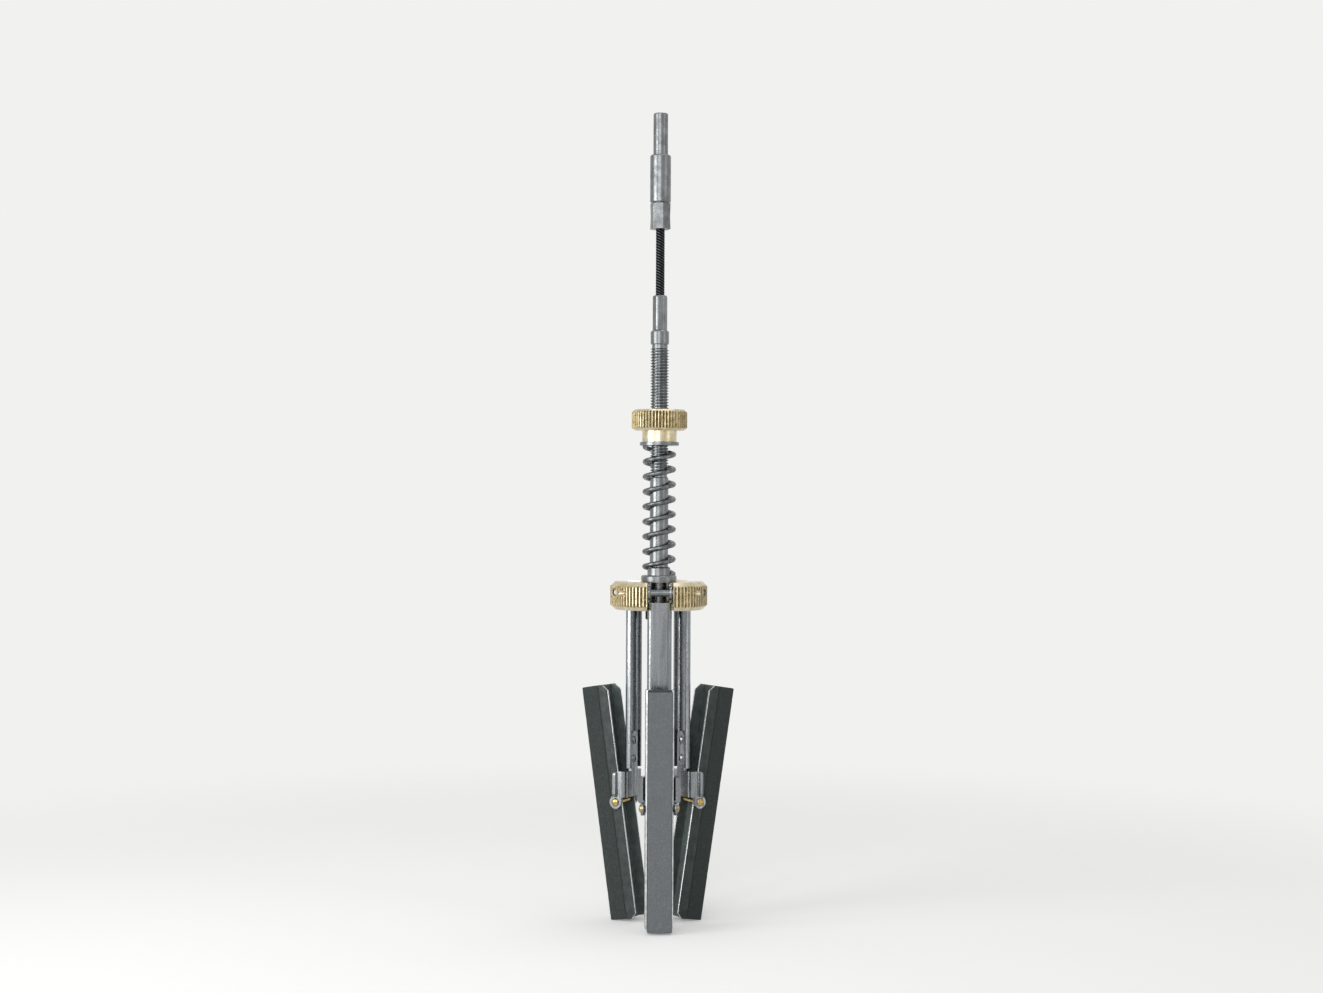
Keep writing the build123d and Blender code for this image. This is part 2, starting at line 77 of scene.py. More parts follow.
# A place in metres that lies askew to every piece, so that no two points are equally far from it.
ORDER_FROM = (0.31, 0.47, 0.83)
LOG = logging.getLogger("hone")

Profile = Sequence[tuple[float, float]]
FaceTest = Callable[[Vector, Vector], bool]


class Slot(Enum):
    """Material slots of the record, which the pieces take their finish from."""

    NICKEL = "nickel_steel"
    CABLE = "cable_steel"
    BRIGHT = "bright_steel"
    SPRING = "spring_steel"
    BRASS = "brass"
    BRASSED = "brassed_steel"
    ZINC = "zinc_steel"
    SHOE = "shoe_steel"
    ABRASIVE = "abrasive"


class Marks(Enum):
    """Run of the fine marks that a metal's making leaves on it."""

    RINGS = "rings about the hone's axis, from the lathe"
    STREAKS = "lines along the hone's axis, from rolling or drawing"
    GRAIN = "no run, from tumbling or plating"


class Hand(Enum):
    """Way that a helix turns as it rises."""

    RIGHT = 1
    LEFT = -1


@dataclass(frozen=True)
class LegPlace:
    """A leg's direction about the axis, and the lean of its shoe at rest, in degrees."""

    name: str
    angle: float
    lean: float
    # True where the shoe's bends get a painted highlight.
    highlit_bends: bool = False

    @property
    def turn(self) -> float:
        """Direction of the leg about the axis, in radians."""
        return math.radians(self.angle)

    @property
    def out(self) -> Vector:
        """Unit vector outwards along the leg."""
        return Vector((math.cos(self.turn), math.sin(self.turn), 0))

    @property
    def across(self) -> Vector:
        """Unit vector across the leg."""
        return Vector((-self.out.y, self.out.x, 0))

    @property
    def shoe_out(self) -> Vector:
        """Unit vector outwards from the shoe's back, which leans."""
        tip = math.radians(self.lean)
        return self.out * math.cos(tip) - Vector((0, 0, math.sin(tip)))


# Only the front shoe's bends are bright, and they get a painted highlight.
LEGS = (
    LegPlace("front", -90.0, 1.0, highlit_bends=True),
    LegPlace("right", 30.0, 9.5),
    LegPlace("left", 150.0, 8.5),
)


def linear(code: str) -> tuple[float, float, float, float]:
    """Turns an sRGB hex colour to linear light.

    Args:
        code: Colour as "#RRGGBB".

    Returns:
        Linear red, green, blue and an alpha of 1.
    """
    parts = [int(code[start : start + 2], 16) / 255 for start in (1, 3, 5)]
    lit = [c / 12.92 if c <= 0.04045 else ((c + 0.055) / 1.055) ** 2.4 for c in parts]
    return lit[0], lit[1], lit[2], 1.0


def per_mm(size: float) -> float:
    """Gives the texture scale whose cells are that many millimetres across."""
    return 1 / (size * MM)


def add_node(
    tree: bpy.types.NodeTree,
    kind: str,
    settings: Mapping[str, object] | None = None,
    inputs: Mapping[str | int, object] | None = None,
) -> bpy.types.Node:
    """Adds a node with its settings, values and links.

    Args:
        tree: Node tree that gets the node.
        kind: Blender's name for the node's type.
        settings: Properties to set on the node.
        inputs: Per input socket, a value to set or an output socket to link.

    Returns:
        The new node.
    """
    made = tree.nodes.new(kind)
    for name, value in (settings or {}).items():
        setattr(made, name, value)
    for name, value in (inputs or {}).items():
        if isinstance(value, bpy.types.NodeSocket):
            tree.links.new(value, made.inputs[name])
        else:
            made.inputs[name].default_value = value
    return made


# Finishes: each is named for the real material and how its surface was made.


@dataclass(frozen=True)
class Finish:
    """A material that is made once and shared by the pieces that wear it."""

    label: str

    def material(self) -> bpy.types.Material:
        """Makes the material at its first use.

        Returns:
            The material, which later pieces share.
        """
        made = bpy.data.materials.get(self.label)
        if made is None:
            made = bpy.data.materials.new(self.label)
            made.use_nodes = True
            tree = made.node_tree
            place = add_node(tree, "ShaderNodeTexCoord").outputs["Object"]
            self.dress(tree, tree.nodes["Principled BSDF"], place)
        return made

    def dress(
        self, tree: bpy.types.NodeTree, shader: bpy.types.Node, place: bpy.types.NodeSocket
    ) -> None:
        """Links the finish's nodes to its shader, from Object coordinates in metres."""
        raise NotImplementedError


@dataclass(frozen=True)
class Metal(Finish):
    """Bare, plated or coated metal: clouds of tone, and the fine marks of its making.

    The lengths draw clouds and streaks out along the hone, and a cloud_length of 0 leaves the
    clouds round.
    """

    light: str = "#B4B7BA"
    dark: str = "#8B8F93"
    smooth: float = 0.22
    rough: float = 0.38
    cloud: float = 2.5
    cloud_length: float = 0.0
    cloud_span: tuple[float, float] = (0.36, 0.64)
    mark: float = 0.25
    marks: Marks = Marks.GRAIN
    mark_tone: float = 0.25
    mark_span: tuple[float, float] = (0.4, 0.68)
    streak_length: float = 30.0
    relief: float = 0.012
    bump_strength: float = 0.5
    metallic: float = 1.0
    specular: float = 0.5

    def drawn_out(
        self, tree: bpy.types.NodeTree, place: bpy.types.NodeSocket, squash: float
    ) -> bpy.types.NodeSocket:
        """Draws noise out along the hone.

        Args:
            tree: The material's node tree.
            place: Object coordinates, in metres.
            squash: Width of the noise for each unit of its length.

        Returns:
            The coordinates in which round noise is long.
        """
        made = add_node(
            tree, "ShaderNodeMapping", inputs={"Vector": place, "Scale": (1, 1, squash)}
        )
        return made.outputs[0]

    def mark_place(
        self, tree: bpy.types.NodeTree, place: bpy.types.NodeSocket
    ) -> bpy.types.NodeSocket:
        """Makes noise run as the marks do.

        Args:
            tree: The material's node tree.
            place: Object coordinates, in metres.

        Returns:
            The coordinates in which round noise makes the marks.
        """
        if self.marks is Marks.STREAKS:
            return self.drawn_out(tree, place, self.mark / self.streak_length)
        if self.marks is Marks.GRAIN:
            return place
        split = add_node(tree, "ShaderNodeSeparateXYZ", inputs={"Vector": place}).outputs
        flat = add_node(tree, "ShaderNodeCombineXYZ", inputs={"X": split["X"], "Y": split["Y"]})
        radius = add_node(
            tree, "ShaderNodeVectorMath", {"operation": "LENGTH"}, {0: flat.outputs[0]}
        )
        made = add_node(
            tree, "ShaderNodeCombineXYZ", inputs={"X": radius.outputs["Value"], "Z": split["Z"]}
        )
        return made.outputs[0]

    def dress(
        self, tree: bpy.types.NodeTree, shader: bpy.types.Node, place: bpy.types.NodeSocket
    ) -> None:
        """Links clouds to tone and roughness, and marks to tone, roughness and bump.

        Args:
            tree: The material's node tree.
            shader: Its Principled BSDF.
            place: Object coordinates, in metres.
        """
        sky = place
        if self.cloud_length:
            sky = self.drawn_out(tree, place, self.cloud / self.cloud_length)
        clouds = add_node(
            tree,
            "ShaderNodeTexNoise",
            inputs={"Vector": sky, "Scale": per_mm(self.cloud), "Detail": 5, "Roughness": 0.62},
        ).outputs["Fac"]
        marks = add_node(
            tree,
            "ShaderNodeTexNoise",
            inputs={
                "Vector": self.mark_place(tree, place),
                "Scale": per_mm(self.mark),
                "Detail": 3,
                "Roughness": 0.55,
            },
        ).outputs["Fac"]
        low, high = self.cloud_span
        spread = add_node(
            tree,
            "ShaderNodeMapRange",
            inputs={"Value": clouds, "From Min": low, "From Max": high},
        )
        low, high = self.mark_span
        cut = add_node(
            tree,
            "ShaderNodeMapRange",
            inputs={"Value": marks, "From Min": low, "From Max": high, "To Max": self.mark_tone},
        )
        tone = add_node(
            tree,
            "ShaderNodeMix",
            {"data_type": "RGBA"},
            {0: spread.outputs["Result"], 6: linear(self.dark), 7: linear(self.light)},
        )
        marked = add_node(
            tree,
            "ShaderNodeMix",
            {"data_type": "RGBA"},
            {0: cut.outputs["Result"], 6: tone.outputs[2], 7: linear(self.dark)},
        )
        gloss = add_node(
            tree, "ShaderNodeMath", {"operation": "SUBTRACT"}, {0: marks, 1: clouds}
        )
        roughness = add_node(
            tree,
            "ShaderNodeMapRange",
            inputs={
                "Value": gloss.outputs[0],
                "From Min": -0.2,
                "From Max": 0.2,
                "To Min": self.smooth,
                "To Max": self.rough,
            },
        )
        bump = add_node(
            tree,
            "ShaderNodeBump",
            inputs={"Strength": self.bump_strength, "Distance": self.relief * MM, "Height": marks},
        )
        shader.inputs["Metallic"].default_value = self.metallic
        shader.inputs["Specular IOR Level"].default_value = self.specular
        tree.links.new(marked.outputs[2], shader.inputs["Base Color"])
        tree.links.new(roughness.outputs["Result"], shader.inputs["Roughness"])
        tree.links.new(bump.outputs["Normal"], shader.inputs["Normal"])


@dataclass(frozen=True)
class Abrasive(Finish):
    """Bonded abrasive: packed dark and pale grains in a matt binder, with a few glints.

    A grain is darker, paler or glossier than the binder where its own random value, from 0 to 1,
    is above dark_from, pale_from or glint_from.
    """

    body: str = "#696D70"
    dark: str = "#585C60"
    pale: str = "#888C90"
    grain: float = 0.25
    dark_from: float = 0.55
    dark_tone: float = 0.6
    pale_from: float = 0.8
    pale_tone: float = 0.7
    cloud: float = 7.0
    cloud_span: tuple[float, float] = (0.3, 0.7)
    cloud_tone: float = 0.22
    glint_from: float = 0.9
    matt: float = 0.86
    glint: float = 0.45
    relief: float = 0.03
    bump_strength: float = 0.7
    specular: float = 0.3

    def dress(
        self, tree: bpy.types.NodeTree, shader: bpy.types.Node, place: bpy.types.NodeSocket
    ) -> None:
        """Links grains to tone, roughness and bump, and slow clouds to tone.

        Args:
            tree: The material's node tree.
            shader: Its Principled BSDF.
            place: Object coordinates, in metres.
        """
        grains = add_node(
            tree, "ShaderNodeTexVoronoi", inputs={"Vector": place, "Scale": per_mm(self.grain)}
        )
        luck = add_node(
            tree, "ShaderNodeSeparateColor", inputs={"Color": grains.outputs["Color"]}
        ).outputs
        dusk = add_node(
            tree,
            "ShaderNodeMapRange",
            inputs={"Value": luck["Red"], "From Min": self.dark_from, "To Max": self.dark_tone},
        )
        spark = add_node(
            tree,
            "ShaderNodeMapRange",
            inputs={"Value": luck["Green"], "From Min": self.pale_from, "To Max": self.pale_tone},
        )
        clouds = add_node(
            tree,
            "ShaderNodeTexNoise",
            inputs={"Vector": place, "Scale": per_mm(self.cloud), "Detail": 3},
        )
        low, high = self.cloud_span
        slow = add_node(
            tree,
            "ShaderNodeMapRange",
            inputs={
                "Value": clouds.outputs["Fac"],
                "From Min": low,
                "From Max": high,
                "To Max": self.cloud_tone,
            },
        )
        tone = linear(self.body)
        for share, colour in ((slow, self.dark), (dusk, self.dark), (spark, self.pale)):
            tone = add_node(
                tree,
                "ShaderNodeMix",
                {"data_type": "RGBA"},
                {0: share.outputs["Result"], 6: tone, 7: linear(colour)},
            ).outputs[2]
        gloss = add_node(
            tree,
            "ShaderNodeMapRange",
            inputs={
                "Value": luck["Blue"],
                "From Min": self.glint_from,
                "To Min": self.matt,
                "To Max": self.glint,
            },
        )
        bump = add_node(
            tree,
            "ShaderNodeBump",
            inputs={
                "Strength": self.bump_strength,
                "Distance": self.relief * MM,
                "Height": grains.outputs["Distance"],
            },
        )
        shader.inputs["Specular IOR Level"].default_value = self.specular
        tree.links.new(tone, shader.inputs["Base Color"])
        tree.links.new(gloss.outputs["Result"], shader.inputs["Roughness"])
        tree.links.new(bump.outputs["Normal"], shader.inputs["Normal"])


# Nickel-plated steel turned on a lathe: a bright neutral shine over fine rings
NICKEL = Metal(
    "nickel_plated_turned_steel",
    light="#868889",
    dark="#67696B",
    smooth=0.22,
    rough=0.36,
    cloud=4.0,
    mark=0.3,
    marks=Marks.RINGS,
    mark_tone=0.35,
    relief=0.008,
)
# Oiled stranded wire: near black, with a thin line of light on each strand
CABLE = Metal(
    "oiled_stranded_steel_wire",
    light="#2A2C2E",
    dark="#141516",
    smooth=0.16,
    rough=0.3,
    cloud=0.9,
    mark=0.3,
)
# The crowns of the same wire's strands, painted grey as a highlight: fine slanting lines on the
# black
STRAND_HIGHLIGHT = Metal(
    "steel_wire_crowns_with_painted_highlight",
    light="#4A4C4F",
    dark="#343639",
    smooth=0.2,
    rough=0.34,
    cloud=1.5,
    mark=0.3,
)
# Ground steel rod: a clean grey shine with faint rings
GROUND = Metal(
    "ground_bright_steel",
    light="#878A8B",
    dark="#6B6E70",
    smooth=0.2,
    rough=0.32,
    cloud=4.0,
    marks=Marks.RINGS,
    relief=0.008,
)
# Hard-drawn spring wire: a darker grey shine with a fine drawn grain
DRAWN = Metal(
    "hard_drawn_spring_wire",
    light="#808386",
    dark="#525558",
    smooth=0.24,
    rough=0.4,
    cloud=1.6,
    mark=0.3,
)
# Free-cutting brass turned and knurled: a pale gold shine, duller in its clouds
BRASS = Metal(
    "turned_and_knurled_brass",
    light="#DDD4BC",
    dark="#BDAE88",
    smooth=0.2,
    rough=0.34,
    cloud=3.0,
    mark=0.22,
    marks=Marks.RINGS,
    relief=0.008,
)
# The same brass on the sides of a knurl's grooves, painted darker as shade: brown lines between the
# ridges
KNURL_GROOVE_SHADE = Metal(
    "brass_with_painted_shade_in_knurl_grooves",
    light="#978862",
    dark="#625539",
    smooth=0.3,
    rough=0.45,
    cloud=1.5,
    mark=0.3,
)
# Brass-plated steel rivet, headed cold: a yellow shine with small dents
BRASSED = Metal(
    "brass_plated_steel_rivet",
    light="#CDB67C",
    dark="#8C7444",
    smooth=0.2,
    rough=0.36,
    cloud=1.0,
    mark=0.35,
)
# Zinc-plated stamped sheet: a mottled silver with long pale and dark bands from the rolls
ZINC = Metal(
    "zinc_plated_stamped_steel",
    light="#9DA0A2",
    dark="#717578",
    smooth=0.12,
    rough=0.36,
    cloud=1.6,
    cloud_length=26.0,
    mark=0.45,
    marks=Marks.STREAKS,
    mark_tone=0.55,
    streak_length=1.4,
    relief=0.014,
)
# Dark phosphated sheet: a dull green-grey with soft clouds
PHOSPHATED = Metal(
    "phosphated_folded_steel",
    light="#404746",
    dark="#303635",
    smooth=0.36,
    rough=0.5,
    cloud=3.5,
    mark=0.4,
    marks=Marks.STREAKS,
    mark_tone=0.2,
    relief=0.006,
    metallic=0.1,
    specular=0.25,
)
# The same coating inside a shoe, painted paler as light in its shade, and more matt
PAINTED_LIGHT_INSIDE = Metal(
    "phosphated_steel_with_its_matt_bloom",
    light="#6C7674",
    dark="#545D5B",
    smooth=0.4,
    rough=0.55,
    cloud=3.5,
    mark=0.4,
    marks=Marks.STREAKS,
    mark_tone=0.2,
    relief=0.006,
    metallic=0.15,
)
# The same coating along a shoe's bends, painted bright as a highlight: a bright line beside the
# stone
PAINTED_BEND_HIGHLIGHT = Metal(
    "rubbed_bend_of_phosphated_steel",
    light="#E2E5E4",
    dark="#B2B7B6",
    smooth=0.18,
    rough=0.3,
    mark=0.3,
    marks=Marks.STREAKS,
)
# Bare steel where the sheet was sheared after its coating, painted near white as a highlight on the
# edge
SHEARED_AND_HIGHLIT = Metal(
    "sheared_steel_edge_with_painted_highlight",
    light="#EEF0F1",
    dark="#C4C7C9",
    smooth=0.14,
    rough=0.26,
    cloud=1.0,
    mark=0.2,
)
# Vitrified silicon carbide stick, matt mid grey on the faces that look outwards, its grains drawn
# coarser than the real grit, which is about 0.08 mm and too fine to show
STONE_GREY = Abrasive("vitrified_silicon_carbide_stick")
# The same stick on its sides and ends, painted darker and faintly green as shade
STONE_SIDE_SHADE = Abrasive(
    "pressed_side_of_vitrified_silicon_carbide", body="#353B3A", dark="#292E2D", pale="#525A58"
)


# Modelling by operators


def pick(piece: bpy.types.Object) -> None:
    """Args:
        piece: Piece to select.
    """
    bpy.ops.object.select_all(action="DESELECT")
    piece.select_set(True)
    bpy.context.view_layer.objects.active = piece


def settle(piece: bpy.types.Object, name: str) -> bpy.types.Object:
    """Names a piece and applies its place to its mesh, so that its object sits at the origin.

    Args:
        piece: Piece to settle.
        name: Its name.

    Returns:
        The same piece.
    """
    pick(piece)
    bpy.ops.object.transform_apply(location=True, rotation=True, scale=True)
    piece.name = name
    piece.data.name = name
    return piece


@contextmanager
def editing(piece: bpy.types.Object) -> Iterator[None]:
    """Opens a piece in edit mode with all of it selected, and closes it again.

    Args:
        piece: Piece to edit.

    Yields:
        Nothing, while edit mode is on.
    """
    pick(piece)
    bpy.ops.object.mode_set(mode="EDIT")
    bpy.ops.mesh.select_all(action="SELECT")
    yield
    bpy.ops.object.mode_set(mode="OBJECT")


def apply_modifier(piece: bpy.types.Object, kind: str, **settings: object) -> None:
    """Adds a modifier with its settings and applies it.

    Args:
        piece: Piece to change.
        kind: Blender's name for the modifier's type.
        **settings: Properties to set on the modifier.
    """
    pick(piece)
    made = piece.modifiers.new(kind.title(), kind)
    for name, value in settings.items():
        setattr(made, name, value)
    bpy.ops.object.modifier_apply(modifier=made.name)


def soften(
    piece: bpy.types.Object,
    width: float,
    limit: float = 30,
    spared: Sequence[float] = (),
    spared_reach: float = 0.2,
) -> None:
    """Rounds the sharp edges of a piece.

    Args:
        piece: Piece to change.
        width: Width of the rounding.
        limit: Least angle of an edge that is rounded, in degrees.
        spared: Levels whose edges stay sharp, because slivers meet there.
        spared_reach: How near to such a level an edge's middle lies.
    """
    shape = bmesh.new()
    shape.from_mesh(piece.data)
    weight = shape.edges.layers.float.new("bevel_weight_edge")
    for edge in shape.edges:
        level = (edge.verts[0].co.z + edge.verts[1].co.z) / 2
        near = any(abs(level - spare * MM) < spared_reach * MM for spare in spared)
        if edge.is_manifold and edge.calc_face_angle() >= math.radians(limit) and not near:
            edge[weight] = 1
    shape.to_mesh(piece.data)
    shape.free()
    apply_modifier(
        piece,
        "BEVEL",
        width=width * MM,
        segments=2,
        limit_method="WEIGHT",
        use_clamp_overlap=False,
        loop_slide=False,
    )
    # Where two roundings end in one point, the modifier leaves a point of each.
    with editing(piece):
        bpy.ops.mesh.remove_doubles(threshold=ON_PLANE)


def smooth(piece: bpy.types.Object, angle: float = 35) -> None:
    """Shades a piece smooth, with its large flats kept flat.

    Args:
        piece: Piece to shade.
        angle: Angle of an edge in degrees from which it stays sharp.
    """
    pick(piece)
    bpy.ops.object.shade_smooth_by_angle(angle=math.radians(angle))
    apply_modifier(piece, "WEIGHTED_NORMAL", keep_sharp=True)


def select_points(piece: bpy.types.Object, test: Callable[[Vector], bool]) -> None:
    """Selects vertices in edit mode.

    Args:
        piece: Piece that is open in edit mode.
        test: Says from a vertex's place, in metres, whether it is selected.
    """
    bpy.ops.mesh.select_mode(type="VERT")
    bpy.ops.mesh.select_all(action="DESELECT")
    shape = bmesh.from_edit_mesh(piece.data)
    for point in shape.verts:
        point.select = test(point.co)
    shape.select_flush_mode()
    bmesh.update_edit_mesh(piece.data)


def paint_faces(piece: bpy.types.Object, slot: int, test: FaceTest) -> None:
    """Gives a material slot to some of a piece's faces.

    Args:
        piece: Piece to paint.
        slot: Number of the material slot.
        test: Says from a face's middle, in metres, and normal whether it gets the slot.
    """
    for face in piece.data.polygons:
        if test(face.center, face.normal):
            face.material_index = slot


@dataclass(frozen=True)
class Knurl:
    """Straight knurl on a rim, whose grooves' sides get painted shade.

    A groove's side lies between root and crest, both below the rim. Its normal's part along the
    axis is under upright, and its part outwards is under outward.
    """

    rim: float
    root: float = 0.75
    crest: float = 0.06
    upright: float = 0.3
    outward: float = 0.88

    def on_side(self, middle: Vector, normal: Vector) -> bool:
        """Says whether a face is a groove's side.

        Args:
            middle: Middle of the face, in metres.
            normal: Its normal.

        Returns:
            True for the side of a groove.
        """
        return (
            (self.rim - self.root) * MM < middle.xy.length < (self.rim - self.crest) * MM
            and abs(normal.z) < self.upright
            and abs(normal.xy.dot(middle.xy.normalized())) < self.outward
        )


def from_node(
    node: str, name: str, merge: float = 0.002, flatness: float = 0.5
) -> bpy.types.Object:
    """Copies a CAD node's mesh to a new piece, with its loose triangles merged and its flats whole.

    Args:
        node: Name of the CAD node.
        name: Name of the new piece.
        merge: Distance at which points are merged.
        flatness: Angle in degrees under which faces are joined.

    Returns:
        The new piece, at the origin.
    """
    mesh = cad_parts[node].data.copy()
    mesh.materials.clear()
    piece = bpy.data.objects.new(name, mesh)
    bpy.context.scene.collection.objects.link(piece)
    pick(piece)
    bpy.ops.mesh.customdata_custom_splitnormals_clear()
    with editing(piece):
        bpy.ops.mesh.remove_doubles(threshold=merge * MM)
        bpy.ops.mesh.dissolve_limited(angle_limit=math.radians(flatness))
    return settle(piece, name)


def put_in_order() -> None:
    """Sorts what is selected, because some operators leave an order that varies between runs."""
    bpy.context.scene.cursor.location = ORDER_FROM
    bpy.ops.mesh.sort_elements(type="CURSOR_DISTANCE", elements={"VERT", "EDGE", "FACE"})


def turned(name: str, profile: Profile, sides: int = 64, bored: bool = False) -> bpy.types.Object:
    """Models a turned piece about +Z: a ring that is drawn out along a profile.

    Args:
        name: Name of the new piece.
        profile: Radius and height of each ring.
        sides: Vertices in a ring.
        bored: True where the profile goes round a bore and back to its first ring.

    Returns:
        The new piece, at the origin.
    """
    radius, level = profile[0]
    bpy.ops.object.select_all(action="DESELECT")
    bpy.ops.mesh.primitive_circle_add(
        vertices=sides, radius=radius * MM, location=(0, 0, level * MM)
    )
    piece = settle(bpy.context.object, name)
    with editing(piece):
        if not bored:
            bpy.ops.mesh.edge_face_add()
        for new_radius, new_level in profile[1:]:
            rise = (0, 0, (new_level - level) * MM)
            bpy.ops.mesh.extrude_region_move(TRANSFORM_OT_translate={"value": rise})
            grow = new_radius / radius
            bpy.ops.transform.resize(value=(grow, grow, 1), center_override=(0, 0, new_level * MM))
            radius, level = new_radius, new_level
        if bored:
            bpy.ops.mesh.select_all(action="SELECT")
            bpy.ops.mesh.select_non_manifold(extend=False)
            bpy.ops.mesh.bridge_edge_loops()
        bpy.ops.mesh.select_all(action="SELECT")
        bpy.ops.mesh.normals_make_consistent(inside=False)
        put_in_order()
    return piece


def rounding(radius: float, level: float, size: float, steps: int) -> list[tuple[float, float]]:
    """Gives the profile of a quarter round from a cylinder's side up to its end.

    Args:
        radius: Radius of the cylinder.
        level: Height of its end.
        size: Radius of the rounding.
        steps: Straight pieces that it is drawn in.

    Returns:
        Radius and height of each point, from the side inwards.
    """
    slopes = [math.pi / 2 * step / steps for step in range(steps + 1)]
    return [
        (radius - size * (1 - math.cos(slope)), level - size * (1 - math.sin(slope)))
        for slope in slopes
    ]


def section(
    radius: float, level: float, turn: float, size: tuple[float, float], sides: int
) -> bpy.types.Object:
    """Adds the outline of a wire or ridge in an upright plane that holds the axis.

    Args:
        radius: Distance of its middle from the axis.
        level: Height of its middle.
        turn: Direction of its middle about the axis, in radians.
        size: Half its extent outwards and along the axis.
        sides: Vertices in it.

    Returns:
        The outline, with its place applied.
    """
    bpy.ops.object.select_all(action="DESELECT")
    bpy.ops.mesh.primitive_circle_add(
        vertices=sides,
        radius=MM,
        location=(radius * MM * math.cos(turn), radius * MM * math.sin(turn), level * MM),
        rotation=(math.pi / 2, 0, turn),
    )
    outline = bpy.context.object
    outline.scale = (size[0], size[1], 1)
    return settle(outline, "outline")


def wind(
    piece: bpy.types.Object, rise: float, lead: float, hand: Hand, steps_per_turn: int
) -> None:
    """Winds an outline about the axis and closes its ends.

    Args:
        piece: Outline to wind.
        rise: Height to wind, below 0 to go down.
        lead: Height of one turn.
        hand: Way of the helix.
        steps_per_turn: Rings in one turn.
    """
    turns = rise / lead
    steps = max(2, round(abs(turns) * steps_per_turn))
    apply_modifier(
        piece,
        "SCREW",
        angle=2 * math.pi * turns * hand.value,
        screw_offset=rise * MM,
        steps=steps,
        render_steps=steps,
        use_merge_vertices=False,
    )
    with editing(piece):
        bpy.ops.mesh.fill_holes(sides=0)
        bpy.ops.mesh.select_all(action="SELECT")
        bpy.ops.mesh.normals_make_consistent(inside=False)


def cut(piece: bpy.types.Object, level: float, keep_below: bool) -> None:
    """Cuts a piece square to the axis, closes the cut, and keeps one side.

    Args:
        piece: Piece to cut.
        level: Height of the cut.
        keep_below: True to keep the lower side.
    """
    with editing(piece):
        bpy.ops.mesh.bisect(
            plane_co=(0, 0, level * MM),
            plane_no=(0, 0, 1),
            use_fill=True,
            clear_outer=keep_below,
            clear_inner=not keep_below,
            threshold=ON_PLANE,
        )


def ring_cuts(piece: bpy.types.Object, levels: Iterable[float]) -> None:
    """Adds edges round a piece.

    Args:
        piece: Piece to cut.
        levels: Heights of the edges.
    """
    with editing(piece):
        for level in levels:
            bpy.ops.mesh.select_all(action="SELECT")
            bpy.ops.mesh.bisect(
                plane_co=(0, 0, level * MM), plane_no=(0, 0, 1), threshold=ON_PLANE
            )


def join(pieces: Sequence[bpy.types.Object], name: str) -> bpy.types.Object:
    """Joins pieces into one.

    Args:
        pieces: Pieces to join.
        name: Name of the joined piece.

    Returns:
        The joined piece, at the origin.
    """
    pick(pieces[0])
    for piece in pieces:
        piece.select_set(True)
    bpy.ops.object.join()
    return settle(bpy.context.object, name)


def copied(piece: bpy.types.Object, name: str) -> bpy.types.Object:
    """Copies a piece together with its mesh.

    Args:
        piece: Piece to copy.
        name: Name of the copy.

    Returns:
        The copy.
    """
    pick(piece)
    bpy.ops.object.duplicate()
    made = bpy.context.object
    made.name = name
    made.data.name = name
    return made


def place(
    piece: bpy.types.Object, name: str, spot: Vector, turn: tuple[float, float, float]
) -> bpy.types.Object:
    """Turns and moves a piece that was modelled at the origin, and applies that to its mesh.

    Args:
        piece: Piece to place.
        name: Its name.
        spot: Where its origin goes, in metres.
        turn: Euler angles in radians.

    Returns:
        The same piece.
    """
    piece.location = spot
    piece.rotation_euler = turn
    return settle(piece, name)


def hand_over(
    piece: bpy.types.Object,
    body: str,
    finishes: Sequence[Finish],
    nodes: Sequence[str],
) -> bpy.types.Object:
    """Gives a finished piece its materials, its body and the nodes it stands for.

    Args:
        piece: Finished piece.
        finishes: Finish of each of the piece's material slots.
        nodes: CAD nodes that it replaces.

    Returns:
        The same piece.
    """
    for finish in finishes:
        piece.data.materials.append(finish.material())
    if body:
        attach(piece, body)
    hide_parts(*nodes)
    LOG.info("%s: %d faces", piece.name, len(piece.data.polygons))
    return piece


# Sub-assemblies


